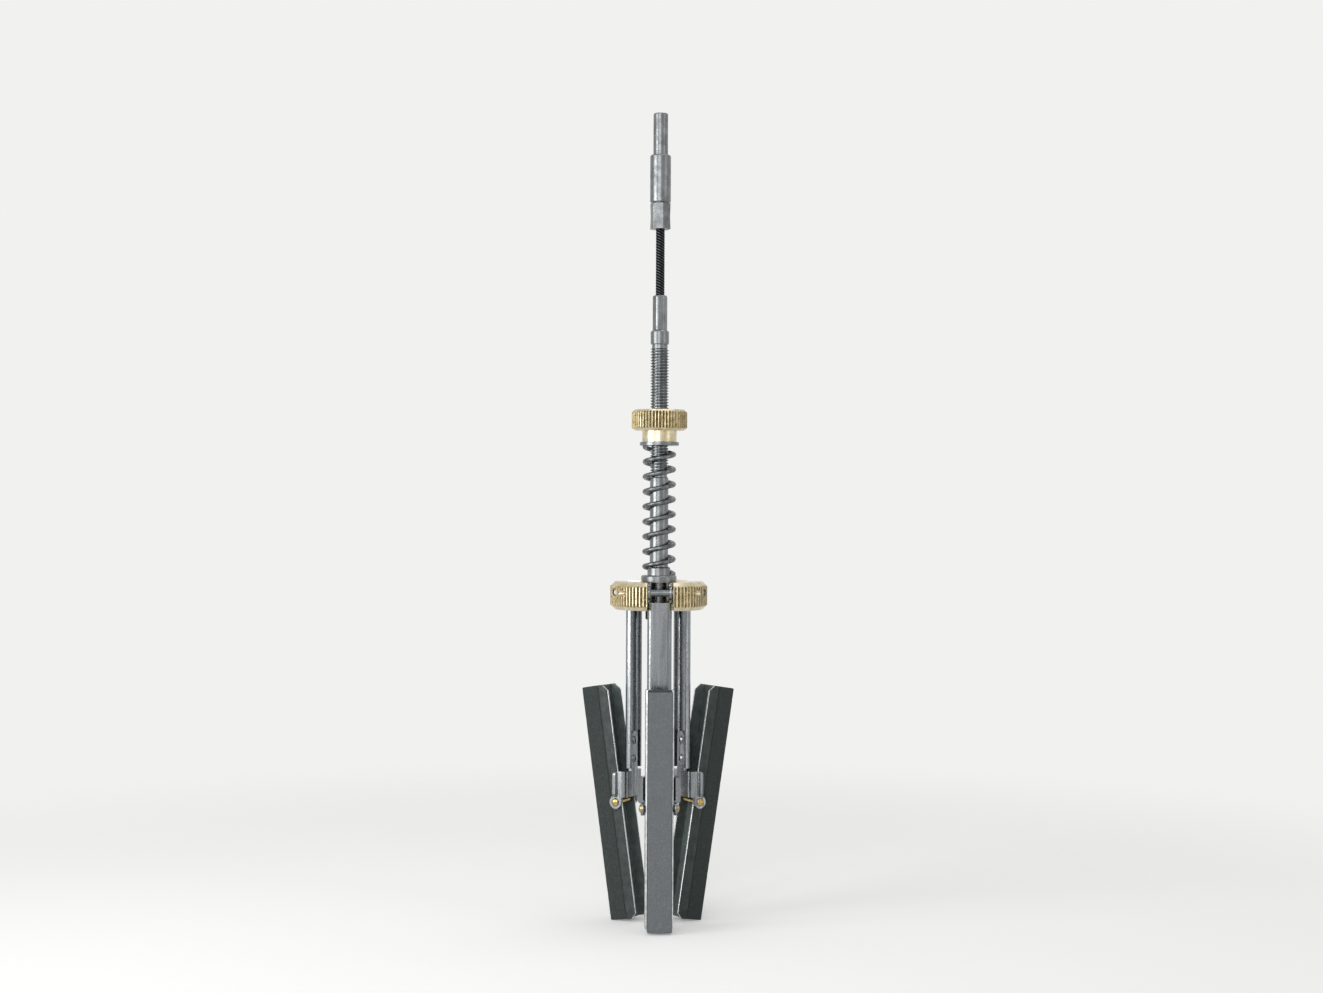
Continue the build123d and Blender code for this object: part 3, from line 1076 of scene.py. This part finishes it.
@dataclass(frozen=True)
class DriveEnd:
    """Round shank and the ferrule that is crimped on the cable.

    The lathe centre's dimple is given as radius and depth, and the crimp's waist as height in the
    crimp and width, both as shares.
    """

    shank_dia: float = 6.35
    shank_top: float = 9.0
    shank_free: float = 18.0
    shank_seat: float = 11.0
    rim_round: float = 0.6
    dimple: Profile = ((1.0, 0.0), (0.85, 0.12), (0.15, 0.8))
    spigot_dia: float = 5.4
    spigot_chamfer: float = 0.6
    ferrule_length: float = 32.2
    ferrule_edge: float = 0.16
    crimp_length: float = 11.2
    crimp_reach: float = 3.0
    crimp_turn: float = -11.0
    waist: Sequence[tuple[float, float]] = ((0.2, 0.985), (0.5, 0.955), (0.8, 0.985))
    near_waist: float = 0.05

    @property
    def ferrule_top(self) -> float:
        """Level where the shank goes into the ferrule."""
        return self.shank_top - self.shank_free

    @property
    def ferrule_bottom(self) -> float:
        """Level of the crimp's mouth."""
        return self.ferrule_top - self.ferrule_length

    def shank(self) -> bpy.types.Object:
        """Models the shank with a rounded rim and the dimple of its lathe centre.

        Returns:
            The shank, at its place.
        """
        rim = self.shank_dia / 2
        spigot = self.spigot_dia / 2
        end = self.ferrule_top - self.shank_seat
        piece = turned(
            "shank_turned",
            (
                (spigot - self.spigot_chamfer, end),
                (spigot, end + self.spigot_chamfer),
                (spigot, self.ferrule_top),
                (rim, self.ferrule_top),
                *rounding(rim, self.shank_top, self.rim_round, steps=4),
                *((radius, self.shank_top - depth) for radius, depth in self.dimple),
            ),
        )
        smooth(piece)
        return piece

    def ferrule(self) -> bpy.types.Object:
        """Models the ferrule from its node: rounded edges and a waist where the crimp bit.

        Returns:
            The ferrule, at its place.
        """
        piece = from_node("drive_ferrule", "ferrule_crimped")
        levels = [self.ferrule_bottom + part * self.crimp_length for part, _ in self.waist]
        ring_cuts(piece, levels)
        with editing(piece):
            for level, (_, size) in zip(levels, self.waist):
                select_points(
                    piece,
                    lambda spot, at=level: abs(spot.z - at * MM) < self.near_waist * MM
                    and spot.xy.length > self.crimp_reach * MM,
                )
                bpy.ops.transform.resize(value=(size, size, 1), center_override=(0, 0, level * MM))
        place(piece, piece.name, Vector(), (0, 0, math.radians(self.crimp_turn)))
        soften(piece, self.ferrule_edge, limit=24)
        smooth(piece, angle=40)
        return piece

    def build(self) -> None:
        """Builds and dresses the drive end."""
        hand_over(self.shank(), "drive_end", [NICKEL], ["drive_shank"])
        hand_over(self.ferrule(), "drive_end", [NICKEL], ["drive_ferrule"])


@dataclass(frozen=True)
class FlexibleCable:
    """Stranded cable between the crimps, in two halves.

    The strands swell along the axis by overlap, so that no gap shows between them. The core and
    the crowns, with their painted highlight, lie under the surface by shares of a strand's radius.
    """

    top: float = -41.2
    bottom: float = -69.8
    grip: float = 3.0
    radius: float = 1.95
    strands: int = 5
    lead: float = 6.0
    overlap: float = 1.02
    strand_sides: int = 16
    steps_per_turn: int = 28
    core_depth: float = 1.6
    core_sides: int = 20
    core_rings: int = 24
    crown_depth: float = 0.15

    def half(self, name: str, end: float) -> bpy.types.Object:
        """Models the strands from the cable's middle to an end inside a crimp.

        Args:
            name: Name of the piece.
            end: Level where its strands end.

        Returns:
            The piece, with its strands and core joined.
        """
        middle = (self.top + self.bottom) / 2
        # The strands touch along the axis, so their own size follows from the lead.
        step = self.lead / self.strands
        slope = math.atan2(self.lead, 2 * math.pi * (self.radius - step / 2))
        strand = step * math.cos(slope) / 2
        size = (strand, step / 2 * self.overlap)
        wires = section(self.radius - strand, middle, 0, size, self.strand_sides)
        with editing(wires):
            for _ in range(self.strands - 1):
                bpy.ops.mesh.duplicate()
                bpy.ops.transform.rotate(
                    value=2 * math.pi / self.strands, orient_axis="Z", center_override=(0, 0, 0)
                )
        wind(wires, end - middle, self.lead, Hand.LEFT, self.steps_per_turn)
        core = self.radius - self.core_depth * strand
        rings = self.core_rings
        levels = [middle + (end - middle) * ring / rings for ring in range(rings + 1)]
        rod = turned("core", [(core, level) for level in levels], self.core_sides)
        crown = (self.radius - self.crown_depth * strand) * MM
        piece = join([wires, rod], name)
        # The strands' crowns get a painted highlight.
        paint_faces(piece, 1, lambda middle, normal: middle.xy.length > crown)
        smooth(piece, angle=60)
        return piece

    def build(self) -> None:
        """Builds and dresses both halves."""
        upper = self.half("cable_upper_half", self.top + self.grip)
        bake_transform(upper)
        lower = self.half("cable_lower_half", self.bottom - self.grip)
        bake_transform(lower)
        for piece in (upper, lower):
            hand_over(piece, "", [CABLE, STRAND_HIGHLIGHT], ["flexible_shaft"])


@dataclass(frozen=True)
class Spindle:
    """Crimped sleeve, threaded rod, spider, and the nut and pins that hold it together."""

    sleeve_top: float = -69.8
    sleeve_length: float = 15.0
    sleeve_radius: float = 3.15
    sleeve_bore: float = 1.95
    sleeve_edge: float = 0.55
    sleeve_flats: float = 5.9
    sleeve_turn: float = -85.0
    sleeve_sides: int = 96
    radius: float = 4.0
    length: float = 133.2
    chamfer: float = 0.8
    relief_radius: float = 3.4
    relief_width: float = 1.8
    relief_slope: float = 0.1
    lip_height: float = 0.25
    lip_depth: float = 0.2
    thread_start: float = 8.0
    thread_length: float = 54.0
    thread_pitch: float = 1.25
    thread_run_out: float = 0.6
    root_radius: float = 3.32
    root_gap: float = 0.02
    ridge_foot: float = 0.1
    ridge_half_width: float = 0.56
    ridge_crest: float = 0.15
    steps_per_turn: int = 28
    stub_radius: float = 3.0
    stub_length: float = 8.3
    stub_chamfer: tuple[float, float] = (0.5, 0.6)
    spider_radius: float = 21.0
    spider_edge: float = 0.1
    pin_radius: float = 1.5
    pin_length: float = 29.0
    pin_round: float = 0.35
    pivot_radius: float = 13.0
    pivot_level: float = -198.0
    edge: float = 0.12

    @property
    def sleeve_bottom(self) -> float:
        """Level where the sleeve meets the rod."""
        return self.sleeve_top - self.sleeve_length

    @property
    def thread_top(self) -> float:
        """Level of the thread's upper end."""
        return self.sleeve_bottom - self.thread_start

    @property
    def thread_bottom(self) -> float:
        """Level of the thread's lower end."""
        return self.thread_top - self.thread_length

    def sleeve(self) -> bpy.types.Object:
        """Models the crimped sleeve as a tube whose six flats run up to its chamfered mouth.

        Returns:
            The sleeve, at its place.
        """
        piece = turned(
            "spindle_sleeve",
            (
                (self.sleeve_bore, self.sleeve_bottom),
                (self.sleeve_radius, self.sleeve_bottom),
                (self.sleeve_radius, self.sleeve_top - self.sleeve_edge),
                (self.sleeve_radius - self.sleeve_edge, self.sleeve_top),
                (self.sleeve_bore, self.sleeve_top),
            ),
            self.sleeve_sides,
            bored=True,
        )
        with editing(piece):
            for flat in range(6):
                angle = math.radians(self.sleeve_turn + 60 * flat)
                out = Vector((math.cos(angle), math.sin(angle), 0))
                bpy.ops.mesh.select_all(action="SELECT")
                bpy.ops.mesh.bisect(
                    plane_co=out * self.sleeve_flats / 2 * MM,
                    plane_no=out,
                    clear_outer=True,
                    threshold=ON_PLANE,
                )
                bpy.ops.mesh.select_all(action="SELECT")
                bpy.ops.mesh.fill_holes(sides=0)
                bpy.ops.mesh.select_all(action="SELECT")
                put_in_order()
        soften(piece, self.edge, limit=24)
        smooth(piece, angle=40)
        return piece

    def relief(self, end: float, away: int) -> list[tuple[float, float]]:
        """Gives the profile of a relief, from the thread's root to the full rod.

        Args:
            end: Level of the thread's end.
            away: 1 for the relief above the thread, and -1 for the one below it.

        Returns:
            Radius and height of each point.
        """
        lip = end + away * self.relief_width
        return [
            (self.root_radius - self.root_gap, end),
            (self.relief_radius, end),
            (self.relief_radius, lip - away * self.relief_slope),
            (self.radius - self.lip_depth, lip),
            (self.radius, lip + away * self.lip_height),
        ]

    def rod(self) -> bpy.types.Object:
        """Models the rod with its two reliefs, the thread's root and the stub.

        Returns:
            The rod, at its place.
        """
        floor_top = self.sleeve_top - self.length
        stub_end = floor_top - self.stub_length
        stub_in, stub_up = self.stub_chamfer
        piece = turned(
            "spindle_rod",
            (
                (self.radius - self.chamfer, self.sleeve_bottom),
                (self.radius, self.sleeve_bottom - self.chamfer),
                *reversed(self.relief(self.thread_top, 1)),
                *self.relief(self.thread_bottom, -1),
                (self.radius, floor_top),
                (self.stub_radius, floor_top),
                (self.stub_radius, stub_end + stub_up),
                (self.stub_radius - stub_in, stub_end),
            ),
        )
        smooth(piece)
        return piece

    def thread(self) -> bpy.types.Object:
        """Models the thread as a ridge that winds up the rod's root.

        Returns:
            The thread, at its place.
        """
        depth = (self.radius - self.root_radius) / 2 + self.ridge_foot
        middle = self.radius - depth
        start = self.thread_bottom - self.thread_run_out
        ridge = section(middle, start, 0, (1, 1), 4)
        at = (middle * MM, 0, start * MM)
        # A four-sided outline has a corner outwards: turned by an eighth it has a flat there.
        size = (math.sqrt(2) * depth, 1, math.sqrt(2) * self.ridge_half_width)
        with editing(ridge):
            bpy.ops.transform.rotate(value=math.pi / 4, orient_axis="Y", center_override=at)
            bpy.ops.transform.resize(value=size, center_override=at)
            select_points(ridge, lambda spot: spot.x > middle * MM)
            bpy.ops.transform.resize(value=(1, 1, self.ridge_crest), center_override=at)
        rise = self.thread_length + 2 * self.thread_run_out
        wind(ridge, rise, self.thread_pitch, Hand.RIGHT, self.steps_per_turn)
        cut(ridge, self.thread_top, keep_below=True)
        cut(ridge, self.thread_bottom, keep_below=False)
        settle(ridge, "spindle_thread")
        smooth(ridge, angle=30)
        return ridge

    def spider(self) -> bpy.types.Object:
        """Models the knurled spider from its node.

        Returns:
            The spider, at its place.
        """
        piece = from_node("spider", "spider_knurled")
        # The sides of the knurl's grooves get painted shade.
        paint_faces(piece, 1, Knurl(self.spider_radius).on_side)
        soften(piece, self.spider_edge, limit=40)
        smooth(piece, angle=30)
        return piece

    def pins(self) -> None:
        """Models one pivot pin, and copies it to each leg."""
        upper = rounding(self.pin_radius, self.pin_length / 2, self.pin_round, steps=2)
        lower = [(radius, -level) for radius, level in reversed(upper)]
        pin = turned("pin", [*lower, *upper], sides=32)
        smooth(pin)
        for leg in LEGS:
            spot = leg.out * self.pivot_radius
            spot.z = self.pivot_level
            across = (math.pi / 2, 0, leg.turn)
            piece = place(copied(pin, leg.name), f"pivot_pin_{leg.name}", spot * MM, across)
            hand_over(piece, "spindle", [GROUND], [f"arm_pin_{leg.name}"])
        bpy.data.objects.remove(pin)

    def build(self) -> None:
        """Builds and dresses the spindle, the spider and their fastenings."""
        for piece in (self.sleeve(), self.rod(), self.thread()):
            hand_over(piece, "spindle", [GROUND], ["spindle"])
        hand_over(self.spider(), "spindle", [BRASS, KNURL_GROOVE_SHADE], ["spider"])
        for node in ("spindle_washer", "spindle_nut"):
            piece = from_node(node, f"{node}_finished")
            soften(piece, self.edge)
            smooth(piece)
            hand_over(piece, "spindle", [GROUND], [node])
        self.pins()


@dataclass(frozen=True)
class TensionSet:
    """Knurled nut, thrust washer, spring and thrust collar on the spindle."""

    nut_radius: float = 12.0
    edge: float = 0.12
    spring_bottom: float = -190.825
    spring_top: float = -134.825
    mean_radius: float = 6.3
    wire: float = 2.0
    coils: float = 8.5
    ground: float = 0.5
    wire_sides: int = 16
    steps_per_turn: int = 40

    def spring_part(self, name: str, end: float, split: float) -> bpy.types.Object:
        """Models the spring's wire from a split level to one ground end.

        Args:
            name: Name of the piece.
            end: Level of the ground end.
            split: Level where the other part meets it.

        Returns:
            The piece.
        """
        low = self.spring_bottom + self.wire / 2 - self.ground
        height = self.spring_top - self.spring_bottom - self.wire + 2 * self.ground
        pitch = height / self.coils
        turn = 2 * math.pi * (split - low) / pitch
        slope = math.atan2(pitch, 2 * math.pi * self.mean_radius)
        size = (self.wire / 2, self.wire / 2 / math.cos(slope))
        wire = section(self.mean_radius, split, turn, size, self.wire_sides)
        reach = (low + height if end > split else low) - split
        wind(wire, reach, pitch, Hand.RIGHT, self.steps_per_turn)
        cut(wire, end, keep_below=end > split)
        settle(wire, name)
        smooth(wire, angle=40)
        return wire

    def spring(self) -> None:
        """Builds and dresses the spring in two parts."""
        split = self.spring_bottom + (self.spring_top - self.spring_bottom) / 3
        upper = self.spring_part("spring_upper_coils", self.spring_top, split)
        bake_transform(upper)
        lower = self.spring_part("spring_lower_coils", self.spring_bottom, split)
        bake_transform(lower)
        for piece in (upper, lower):
            hand_over(piece, "", [DRAWN], ["compression_spring"])

    def build(self) -> None:
        """Builds and dresses the nut, washer, collar and spring."""
        for node, finishes, slot in (
            ("tension_nut", [BRASS, KNURL_GROOVE_SHADE], Slot.BRASS),
            ("spring_washer", [GROUND], Slot.BRIGHT),
            ("thrust_collar", [GROUND], Slot.BRIGHT),
        ):
            piece = from_node(node, f"{node}_finished")
            if slot is Slot.BRASS:
                # The sides of the knurl's grooves get painted shade.
                paint_faces(piece, 1, Knurl(self.nut_radius).on_side)
            soften(piece, self.edge, limit=40)
            smooth(piece, angle=30)
            hand_over(piece, node, finishes, [node])
        self.spring()


@dataclass(frozen=True)
class LegSet:
    """The three legs: arms, yokes and their rivets, shoe pins, shoes and stones.

    The yoke's corner is where its edge and its inside meet, which its lips bend round. The stone's
    size is given outwards, across and along the shoe. A field that ends in facing is the part of
    a face's normal that tells which way the face looks.
    """

    pin_radius: float = 16.8
    pin_level: float = -289.4
    pin_dia: float = 2.4
    pin_head: float = 3.6
    pin_reach: float = 7.8
    head_height: float = 0.9
    dome_slopes: tuple[float, ...] = (0, 18, 36, 54, 72, 84)
    rivet_dia: float = 2.4
    rivet_head: float = 4.0
    rivet_levels: tuple[float, float] = (-270.8, -262.8)
    tongue_inside: float = 11.5
    arm_face: float = 14.15
    sheet_edge: float = 0.14
    yoke_corner: tuple[float, float] = (17.6, 6.25)
    lip_bend: float = 1.75
    lip_tight: float = 0.8
    near_bend: float = 0.03
    near_bend_end: float = 0.02
    yoke_slivers: tuple[float, float] = (-285.8, -287.2)
    shoe_back: float = 3.1
    shoe_edge: float = 0.2
    sheared_and_highlit_below: float = 0.1
    sheared_and_highlit_facing: float = 0.3
    bend_highlight_facing: tuple[float, float] = (0.2, 0.95)
    painted_light_inside_facing: float = 0.9
    unshaded_facing: float = 0.5
    stone_size: tuple[float, float, float] = (8.0, 10.5, 101.6)
    stone_edge: float = 0.5
    stone_rings: int = 64
    chip_depth: float = 0.12
    chip_reach: float = 0.6
    chips_per_metre: float = 900.0

    @property
    def stone_middle(self) -> Vector:
        """Middle of a stone before it is placed, in metres."""
        return Vector((self.shoe_back + self.stone_size[0] / 2, 0, 0)) * MM

    def pin(self, leg: LegPlace) -> Vector:
        """Gives the middle of a leg's shoe pin, in metres."""
        return (leg.out * self.pin_radius + Vector((0, 0, self.pin_level))) * MM

    def rivet(self, shank: float, head: float, low: float, high: float) -> bpy.types.Object:
        """Models a rivet about +Z with a domed head at each end.

        Args:
            shank: Radius of its shank.
            head: Radius of its heads.
            low: Level where the lower head starts.
            high: Level where the upper head starts.

        Returns:
            The rivet, at the origin.
        """
        slopes = [math.radians(slope) for slope in self.dome_slopes]
        dome = [(head * math.cos(slope), self.head_height * math.sin(slope)) for slope in slopes]
        lower = [(radius, low - rise) for radius, rise in reversed(dome)]
        upper = [(radius, high + rise) for radius, rise in dome]
        piece = turned("rivet", [*lower, (shank, low), (shank, high), *upper], sides=32)
        smooth(piece, angle=50)
        return piece

    def block(self) -> bpy.types.Object:
        """Models a stone with rounded edges, upright in front of the shoe pin.

        Returns:
            The stone, with the pin's middle at the origin.
        """
        thick, width, length = self.stone_size
        bpy.ops.object.select_all(action="DESELECT")
        bpy.ops.mesh.primitive_cube_add(size=1, location=self.stone_middle)
        piece = bpy.context.object
        piece.scale = (thick * MM, width * MM, length * MM)
        settle(piece, "stone")
        with editing(piece):
            bpy.ops.mesh.bevel(offset=self.stone_edge * MM, segments=2, affect="EDGES")
        low = -length / 2 + self.stone_edge
        step = (length - 2 * self.stone_edge) / self.stone_rings
        ring_cuts(piece, [low + step * (ring + 0.5) for ring in range(self.stone_rings)])
        return piece

    def arm(self, leg: LegPlace) -> None:
        """Builds an arm from its node, with its stamped edges rounded.

        Args:
            leg: The leg that it belongs to.
        """
        piece = from_node(f"arm_{leg.name}", f"arm_{leg.name}_stamped")
        soften(piece, self.sheet_edge, limit=40)
        smooth(piece)
        hand_over(piece, f"arm_{leg.name}", [ZINC], [f"arm_{leg.name}"])

    def yoke(self, leg: LegPlace) -> None:
        """Builds a yoke from its node, with its lips' bends drawn as tight as the real ones.

        Args:
            leg: The leg that it belongs to.
        """
        piece = from_node(f"yoke_{leg.name}", f"yoke_{leg.name}_folded")
        corner = Vector(self.yoke_corner) * MM
        loose = corner + Vector((-self.lip_bend, self.lip_bend)) * MM
        tight = corner + Vector((-self.lip_tight, self.lip_tight)) * MM
        beyond = self.near_bend_end * MM
        for point in piece.data.vertices:
            side = math.copysign(1, point.co.dot(leg.across))
            flat = Vector((point.co.dot(leg.out), abs(point.co.dot(leg.across))))
            arm = flat - loose
            on_bend = abs(arm.length - self.lip_bend * MM) < self.near_bend * MM
            if on_bend and arm.x > -beyond and arm.y < beyond:
                flat = tight + arm * (self.lip_tight / self.lip_bend)
                level = point.co.z
                point.co = leg.out * flat.x + leg.across * flat.y * side
                point.co.z = level
        soften(piece, self.sheet_edge, limit=40, spared=self.yoke_slivers)
        smooth(piece)
        hand_over(piece, f"arm_{leg.name}", [ZINC], [f"yoke_{leg.name}"])

    def rivets(self, leg: LegPlace, rivet: bpy.types.Object) -> None:
        """Builds the two rivets that join a yoke's tongue to its arm.

        Args:
            leg: The leg that they belong to.
            rivet: Rivet to copy.
        """
        outwards = (math.pi / 2, 0, leg.turn + math.pi / 2)
        pair = [
            place(copied(rivet, name), name, Vector((0, 0, level * MM)), outwards)
            for name, level in zip(("first", "second"), self.rivet_levels)
        ]
        joined = join(pair, f"yoke_rivets_{leg.name}_domed")
        hand_over(joined, f"arm_{leg.name}", [ZINC], [f"yoke_rivets_{leg.name}"])

    def shoe_pin(self, leg: LegPlace, pin: bpy.types.Object) -> None:
        """Builds the brassed rivet that a shoe rocks on.

        Args:
            leg: The leg that it belongs to.
            pin: Rivet to copy.
        """
        name = f"shoe_rivet_{leg.name}"
        piece = place(copied(pin, name), name, self.pin(leg), (math.pi / 2, 0, leg.turn))
        hand_over(
            piece, f"shoe_pin_{leg.name}", [BRASSED], [f"shoe_pin_{leg.name}"]
        )

    def shoe(self, leg: LegPlace) -> None:
        """Builds a shoe from its node, with painted highlights on its cut edges and front bends,
        and painted light inside.

        Args:
            leg: The leg that it belongs to.
        """
        pin = self.pin(leg)
        out = leg.shoe_out
        across = leg.across
        piece = from_node(f"shoe_{leg.name}", f"shoe_{leg.name}_folded")
        soften(piece, self.shoe_edge, limit=40)
        # Bare steel on the cut edges and their roundings, painted near white as a highlight.
        paint_faces(
            piece,
            1,
            lambda middle, normal: (middle - pin).dot(out) < self.sheared_and_highlit_below * MM
            and normal.dot(out) < -self.sheared_and_highlit_facing,
        )
        # A painted highlight along the bends, on faces that look partly outwards.
        if leg.highlit_bends:
            low, high = self.bend_highlight_facing
            paint_faces(piece, 2, lambda middle, normal: low < normal.dot(out) < high)
        # Painted light on the channel's inside, which lies in shade: its walls' faces that look
        # inwards, and its back's hidden face.
        paint_faces(
            piece,
            3,
            lambda middle, normal: abs(normal.dot(across)) > self.painted_light_inside_facing
            and normal.dot(across) * (middle - pin).dot(across) < 0
            or normal.dot(out) < -self.painted_light_inside_facing
            and (middle - pin).dot(out) > 0,
        )
        smooth(piece)
        finishes = [PHOSPHATED, SHEARED_AND_HIGHLIT, PAINTED_BEND_HIGHLIGHT, PAINTED_LIGHT_INSIDE]
        hand_over(piece, f"shoe_{leg.name}", finishes, [f"shoe_{leg.name}"])

    def stone(self, leg: LegPlace, block: bpy.types.Object) -> None:
        """Builds a stone with slightly chipped edges, which differ from leg to leg.

        Args:
            leg: The leg that it belongs to.
            block: Stone to copy.
        """
        piece = copied(block, leg.name)
        near = Vector(self.stone_size) * MM / 2
        drift = Vector((leg.angle, 0, 0))
        for point in piece.data.vertices:
            away = point.co - self.stone_middle
            gap = sorted(near[i] - abs(away[i]) for i in range(3))
            if gap[1] < self.chip_reach * MM:
                bite = noise.noise((point.co + drift) * self.chips_per_metre)
                inward = Vector((away.x, away.y, 0)).normalized()
                point.co -= inward * self.chip_depth * MM * max(0.0, bite)
        # Faces that don't look outwards get painted shade.
        paint_faces(piece, 1, lambda middle, normal: normal.x < self.unshaded_facing)
        lean = (0, math.radians(leg.lean), leg.turn)
        place(piece, f"stone_{leg.name}_stick", self.pin(leg), lean)
        smooth(piece, angle=50)
        finishes = [STONE_GREY, STONE_SIDE_SHADE]
        hand_over(piece, f"shoe_{leg.name}", finishes, [f"stone_{leg.name}"])

    def build(self) -> None:
        """Models what repeats once, and builds and dresses each leg."""
        rivet = self.rivet(
            self.rivet_dia / 2, self.rivet_head / 2, self.tongue_inside, self.arm_face
        )
        pin = self.rivet(self.pin_dia / 2, self.pin_head / 2, -self.pin_reach, self.pin_reach)
        block = self.block()
        for leg in LEGS:
            self.arm(leg)
            self.yoke(leg)
            self.rivets(leg, rivet)
            self.shoe_pin(leg, pin)
            self.shoe(leg)
            self.stone(leg, block)
        for pattern in (rivet, pin, block):
            bpy.data.objects.remove(pattern)


@dataclass(frozen=True)
class Lamp:
    """Soft area lamp, with its place and size in metres and its power in watts."""

    name: str
    spot: tuple[float, float, float]
    size: tuple[float, float]
    power: float


@dataclass(frozen=True)
class Studio:
    """Pale floor, plain soft light, and the camera at the photograph's place."""

    camera_distance: float = 900.0
    camera_level: float = -156.8
    camera_turn: float = 2.0
    camera_roll: float = 0.25
    camera_shift: float = 1.0
    sensor: float = 36.0
    lens: float = 56.57
    floor_radius: float = 900.0
    pale: str = "#F1F1F0"
    ambient: float = 0.42
    floor_glow: float = 0.24
    fade_start: float = 200.0
    fade_end: float = 580.0
    lamp_aim: float = -170.0
    lamp_spread: float = 120.0
    lamps: tuple[Lamp, ...] = (
        Lamp("key_lamp", (-0.29, -1.08, 0.2), (0.65, 0.9), 2.1),
        Lamp("strip_lamp", (-0.655, -0.38, -0.08), (0.45, 0.5), 1.4),
        Lamp("fill_lamp", (0.95, -0.6, 0.0), (0.4, 0.9), 0.35),
        Lamp("top_lamp", (0.1, 0.2, 1.1), (0.8, 0.8), 1.3),
    )

    def camera(self) -> None:
        """Adds the camera, which looks level at the hone from in front of its front leg."""
        turn = math.radians(self.camera_turn)
        back = Vector((-math.sin(turn), -math.cos(turn), 0))
        right = Vector((math.cos(turn), -math.sin(turn), 0))
        eye = bpy.data.cameras.new("camera")
        eye.sensor_width = self.sensor
        eye.lens = self.lens
        holder = bpy.data.objects.new("camera", eye)
        bpy.context.scene.collection.objects.link(holder)
        spot = back * self.camera_distance + right * self.camera_shift
        spot.z = self.camera_level
        holder.location = spot * MM
        level = Euler((math.pi / 2, 0, -turn)).to_matrix()
        roll = Matrix.Rotation(math.radians(self.camera_roll), 3, "Z")
        holder.rotation_euler = (level @ roll).to_euler()
        bpy.context.scene.camera = holder

    def seen_directly(self, tree: bpy.types.NodeTree) -> bpy.types.NodeSocket:
        """Tells rays from the camera, metal and glass from rays that only light.

        Args:
            tree: Node tree that asks.

        Returns:
            A socket that is 1 for rays that show the surface, and 0 for the others.
        """
        path = add_node(tree, "ShaderNodeLightPath").outputs
        seen = path["Is Camera Ray"]
        for ray in ("Is Glossy Ray", "Is Transmission Ray"):
            seen = add_node(
                tree, "ShaderNodeMath", {"operation": "MAXIMUM"}, {0: seen, 1: path[ray]}
            ).outputs[0]
        return seen

    def floor(self) -> None:
        """Adds a round floor under the lowest stone that fades to the world's colour."""
        low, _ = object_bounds()
        bpy.ops.object.select_all(action="DESELECT")
        bpy.ops.mesh.primitive_circle_add(
            vertices=96, radius=self.floor_radius * MM, fill_type="NGON", location=(0, 0, low.z)
        )
        floor = settle(bpy.context.object, "floor")
        paint = bpy.data.materials.new("pale_paper_sweep")
        paint.use_nodes = True
        tree = paint.node_tree
        shader = tree.nodes["Principled BSDF"]
        shader.inputs["Base Color"].default_value = linear(self.pale)
        shader.inputs["Roughness"].default_value = 0.9
        shader.inputs["Specular IOR Level"].default_value = 0.0
        # The glow is what the eye and mirrors see of a sweep lit from above, and lights nothing.
        shader.inputs["Emission Color"].default_value = linear(self.pale)
        glow = add_node(
            tree,
            "ShaderNodeMath",
            {"operation": "MULTIPLY"},
            {0: self.seen_directly(tree), 1: self.floor_glow},
        )
        tree.links.new(glow.outputs[0], shader.inputs["Emission Strength"])
        where = add_node(tree, "ShaderNodeTexCoord").outputs["Object"]
        level = add_node(
            tree, "ShaderNodeVectorMath", {"operation": "MULTIPLY"}, {0: where, 1: (1, 1, 0)}
        )
        away = add_node(
            tree, "ShaderNodeVectorMath", {"operation": "LENGTH"}, {0: level.outputs["Vector"]}
        )
        fade = add_node(
            tree,
            "ShaderNodeMapRange",
            {"interpolation_type": "SMOOTHSTEP"},
            {
                "Value": away.outputs["Value"],
                "From Min": self.fade_start * MM,
                "From Max": self.fade_end * MM,
            },
        )
        clear = add_node(tree, "ShaderNodeBsdfTransparent")
        mixed = add_node(
            tree,
            "ShaderNodeMixShader",
            inputs={0: fade.outputs["Result"], 1: shader.outputs[0], 2: clear.outputs[0]},
        )
        tree.links.new(mixed.outputs[0], tree.nodes["Material Output"].inputs["Surface"])
        floor.data.materials.append(paint)
        floor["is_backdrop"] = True

    def light(self, lamp: Lamp) -> None:
        """Adds a lamp that is aimed at the hone's middle and that the camera doesn't see.

        Args:
            lamp: The lamp.
        """
        data = bpy.data.lights.new(lamp.name, "AREA")
        data.shape = "RECTANGLE"
        data.size, data.size_y = lamp.size
        data.energy = lamp.power
        data.spread = math.radians(self.lamp_spread)
        holder = bpy.data.objects.new(lamp.name, data)
        bpy.context.scene.collection.objects.link(holder)
        holder.location = lamp.spot
        aim = Vector((0, 0, self.lamp_aim * MM)) - Vector(lamp.spot)
        holder.rotation_euler = aim.to_track_quat("-Z", "Y").to_euler()
        holder.visible_camera = False

    def world(self) -> None:
        """Makes the world pale for the camera, metal and glass, and a plain fill elsewhere."""
        world = bpy.data.worlds.new("studio")
        bpy.context.scene.world = world
        world.use_nodes = True
        tree = world.node_tree
        fill = (self.ambient, self.ambient, self.ambient, 1.0)
        colour = add_node(
            tree,
            "ShaderNodeMix",
            {"data_type": "RGBA"},
            {0: self.seen_directly(tree), 6: fill, 7: linear(self.pale)},
        )
        tree.links.new(colour.outputs[2], tree.nodes["Background"].inputs["Color"])

    def build(self) -> None:
        """Builds the floor, the world, the lamps and the camera."""
        self.floor()
        self.world()
        for lamp in self.lamps:
            self.light(lamp)
        self.camera()
        bpy.context.scene.view_settings.view_transform = "Standard"


def write_sizes() -> None:
    """Updates the view layer."""
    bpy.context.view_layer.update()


def main() -> None:
    """Builds each sub-assembly in order, and reports each piece."""
    logging.basicConfig(level=logging.INFO, format="%(message)s")
    DriveEnd().build()
    FlexibleCable().build()
    Spindle().build()
    TensionSet().build()
    LegSet().build()
    write_sizes()
    Studio().build()


if __name__ == "__main__":
    main()
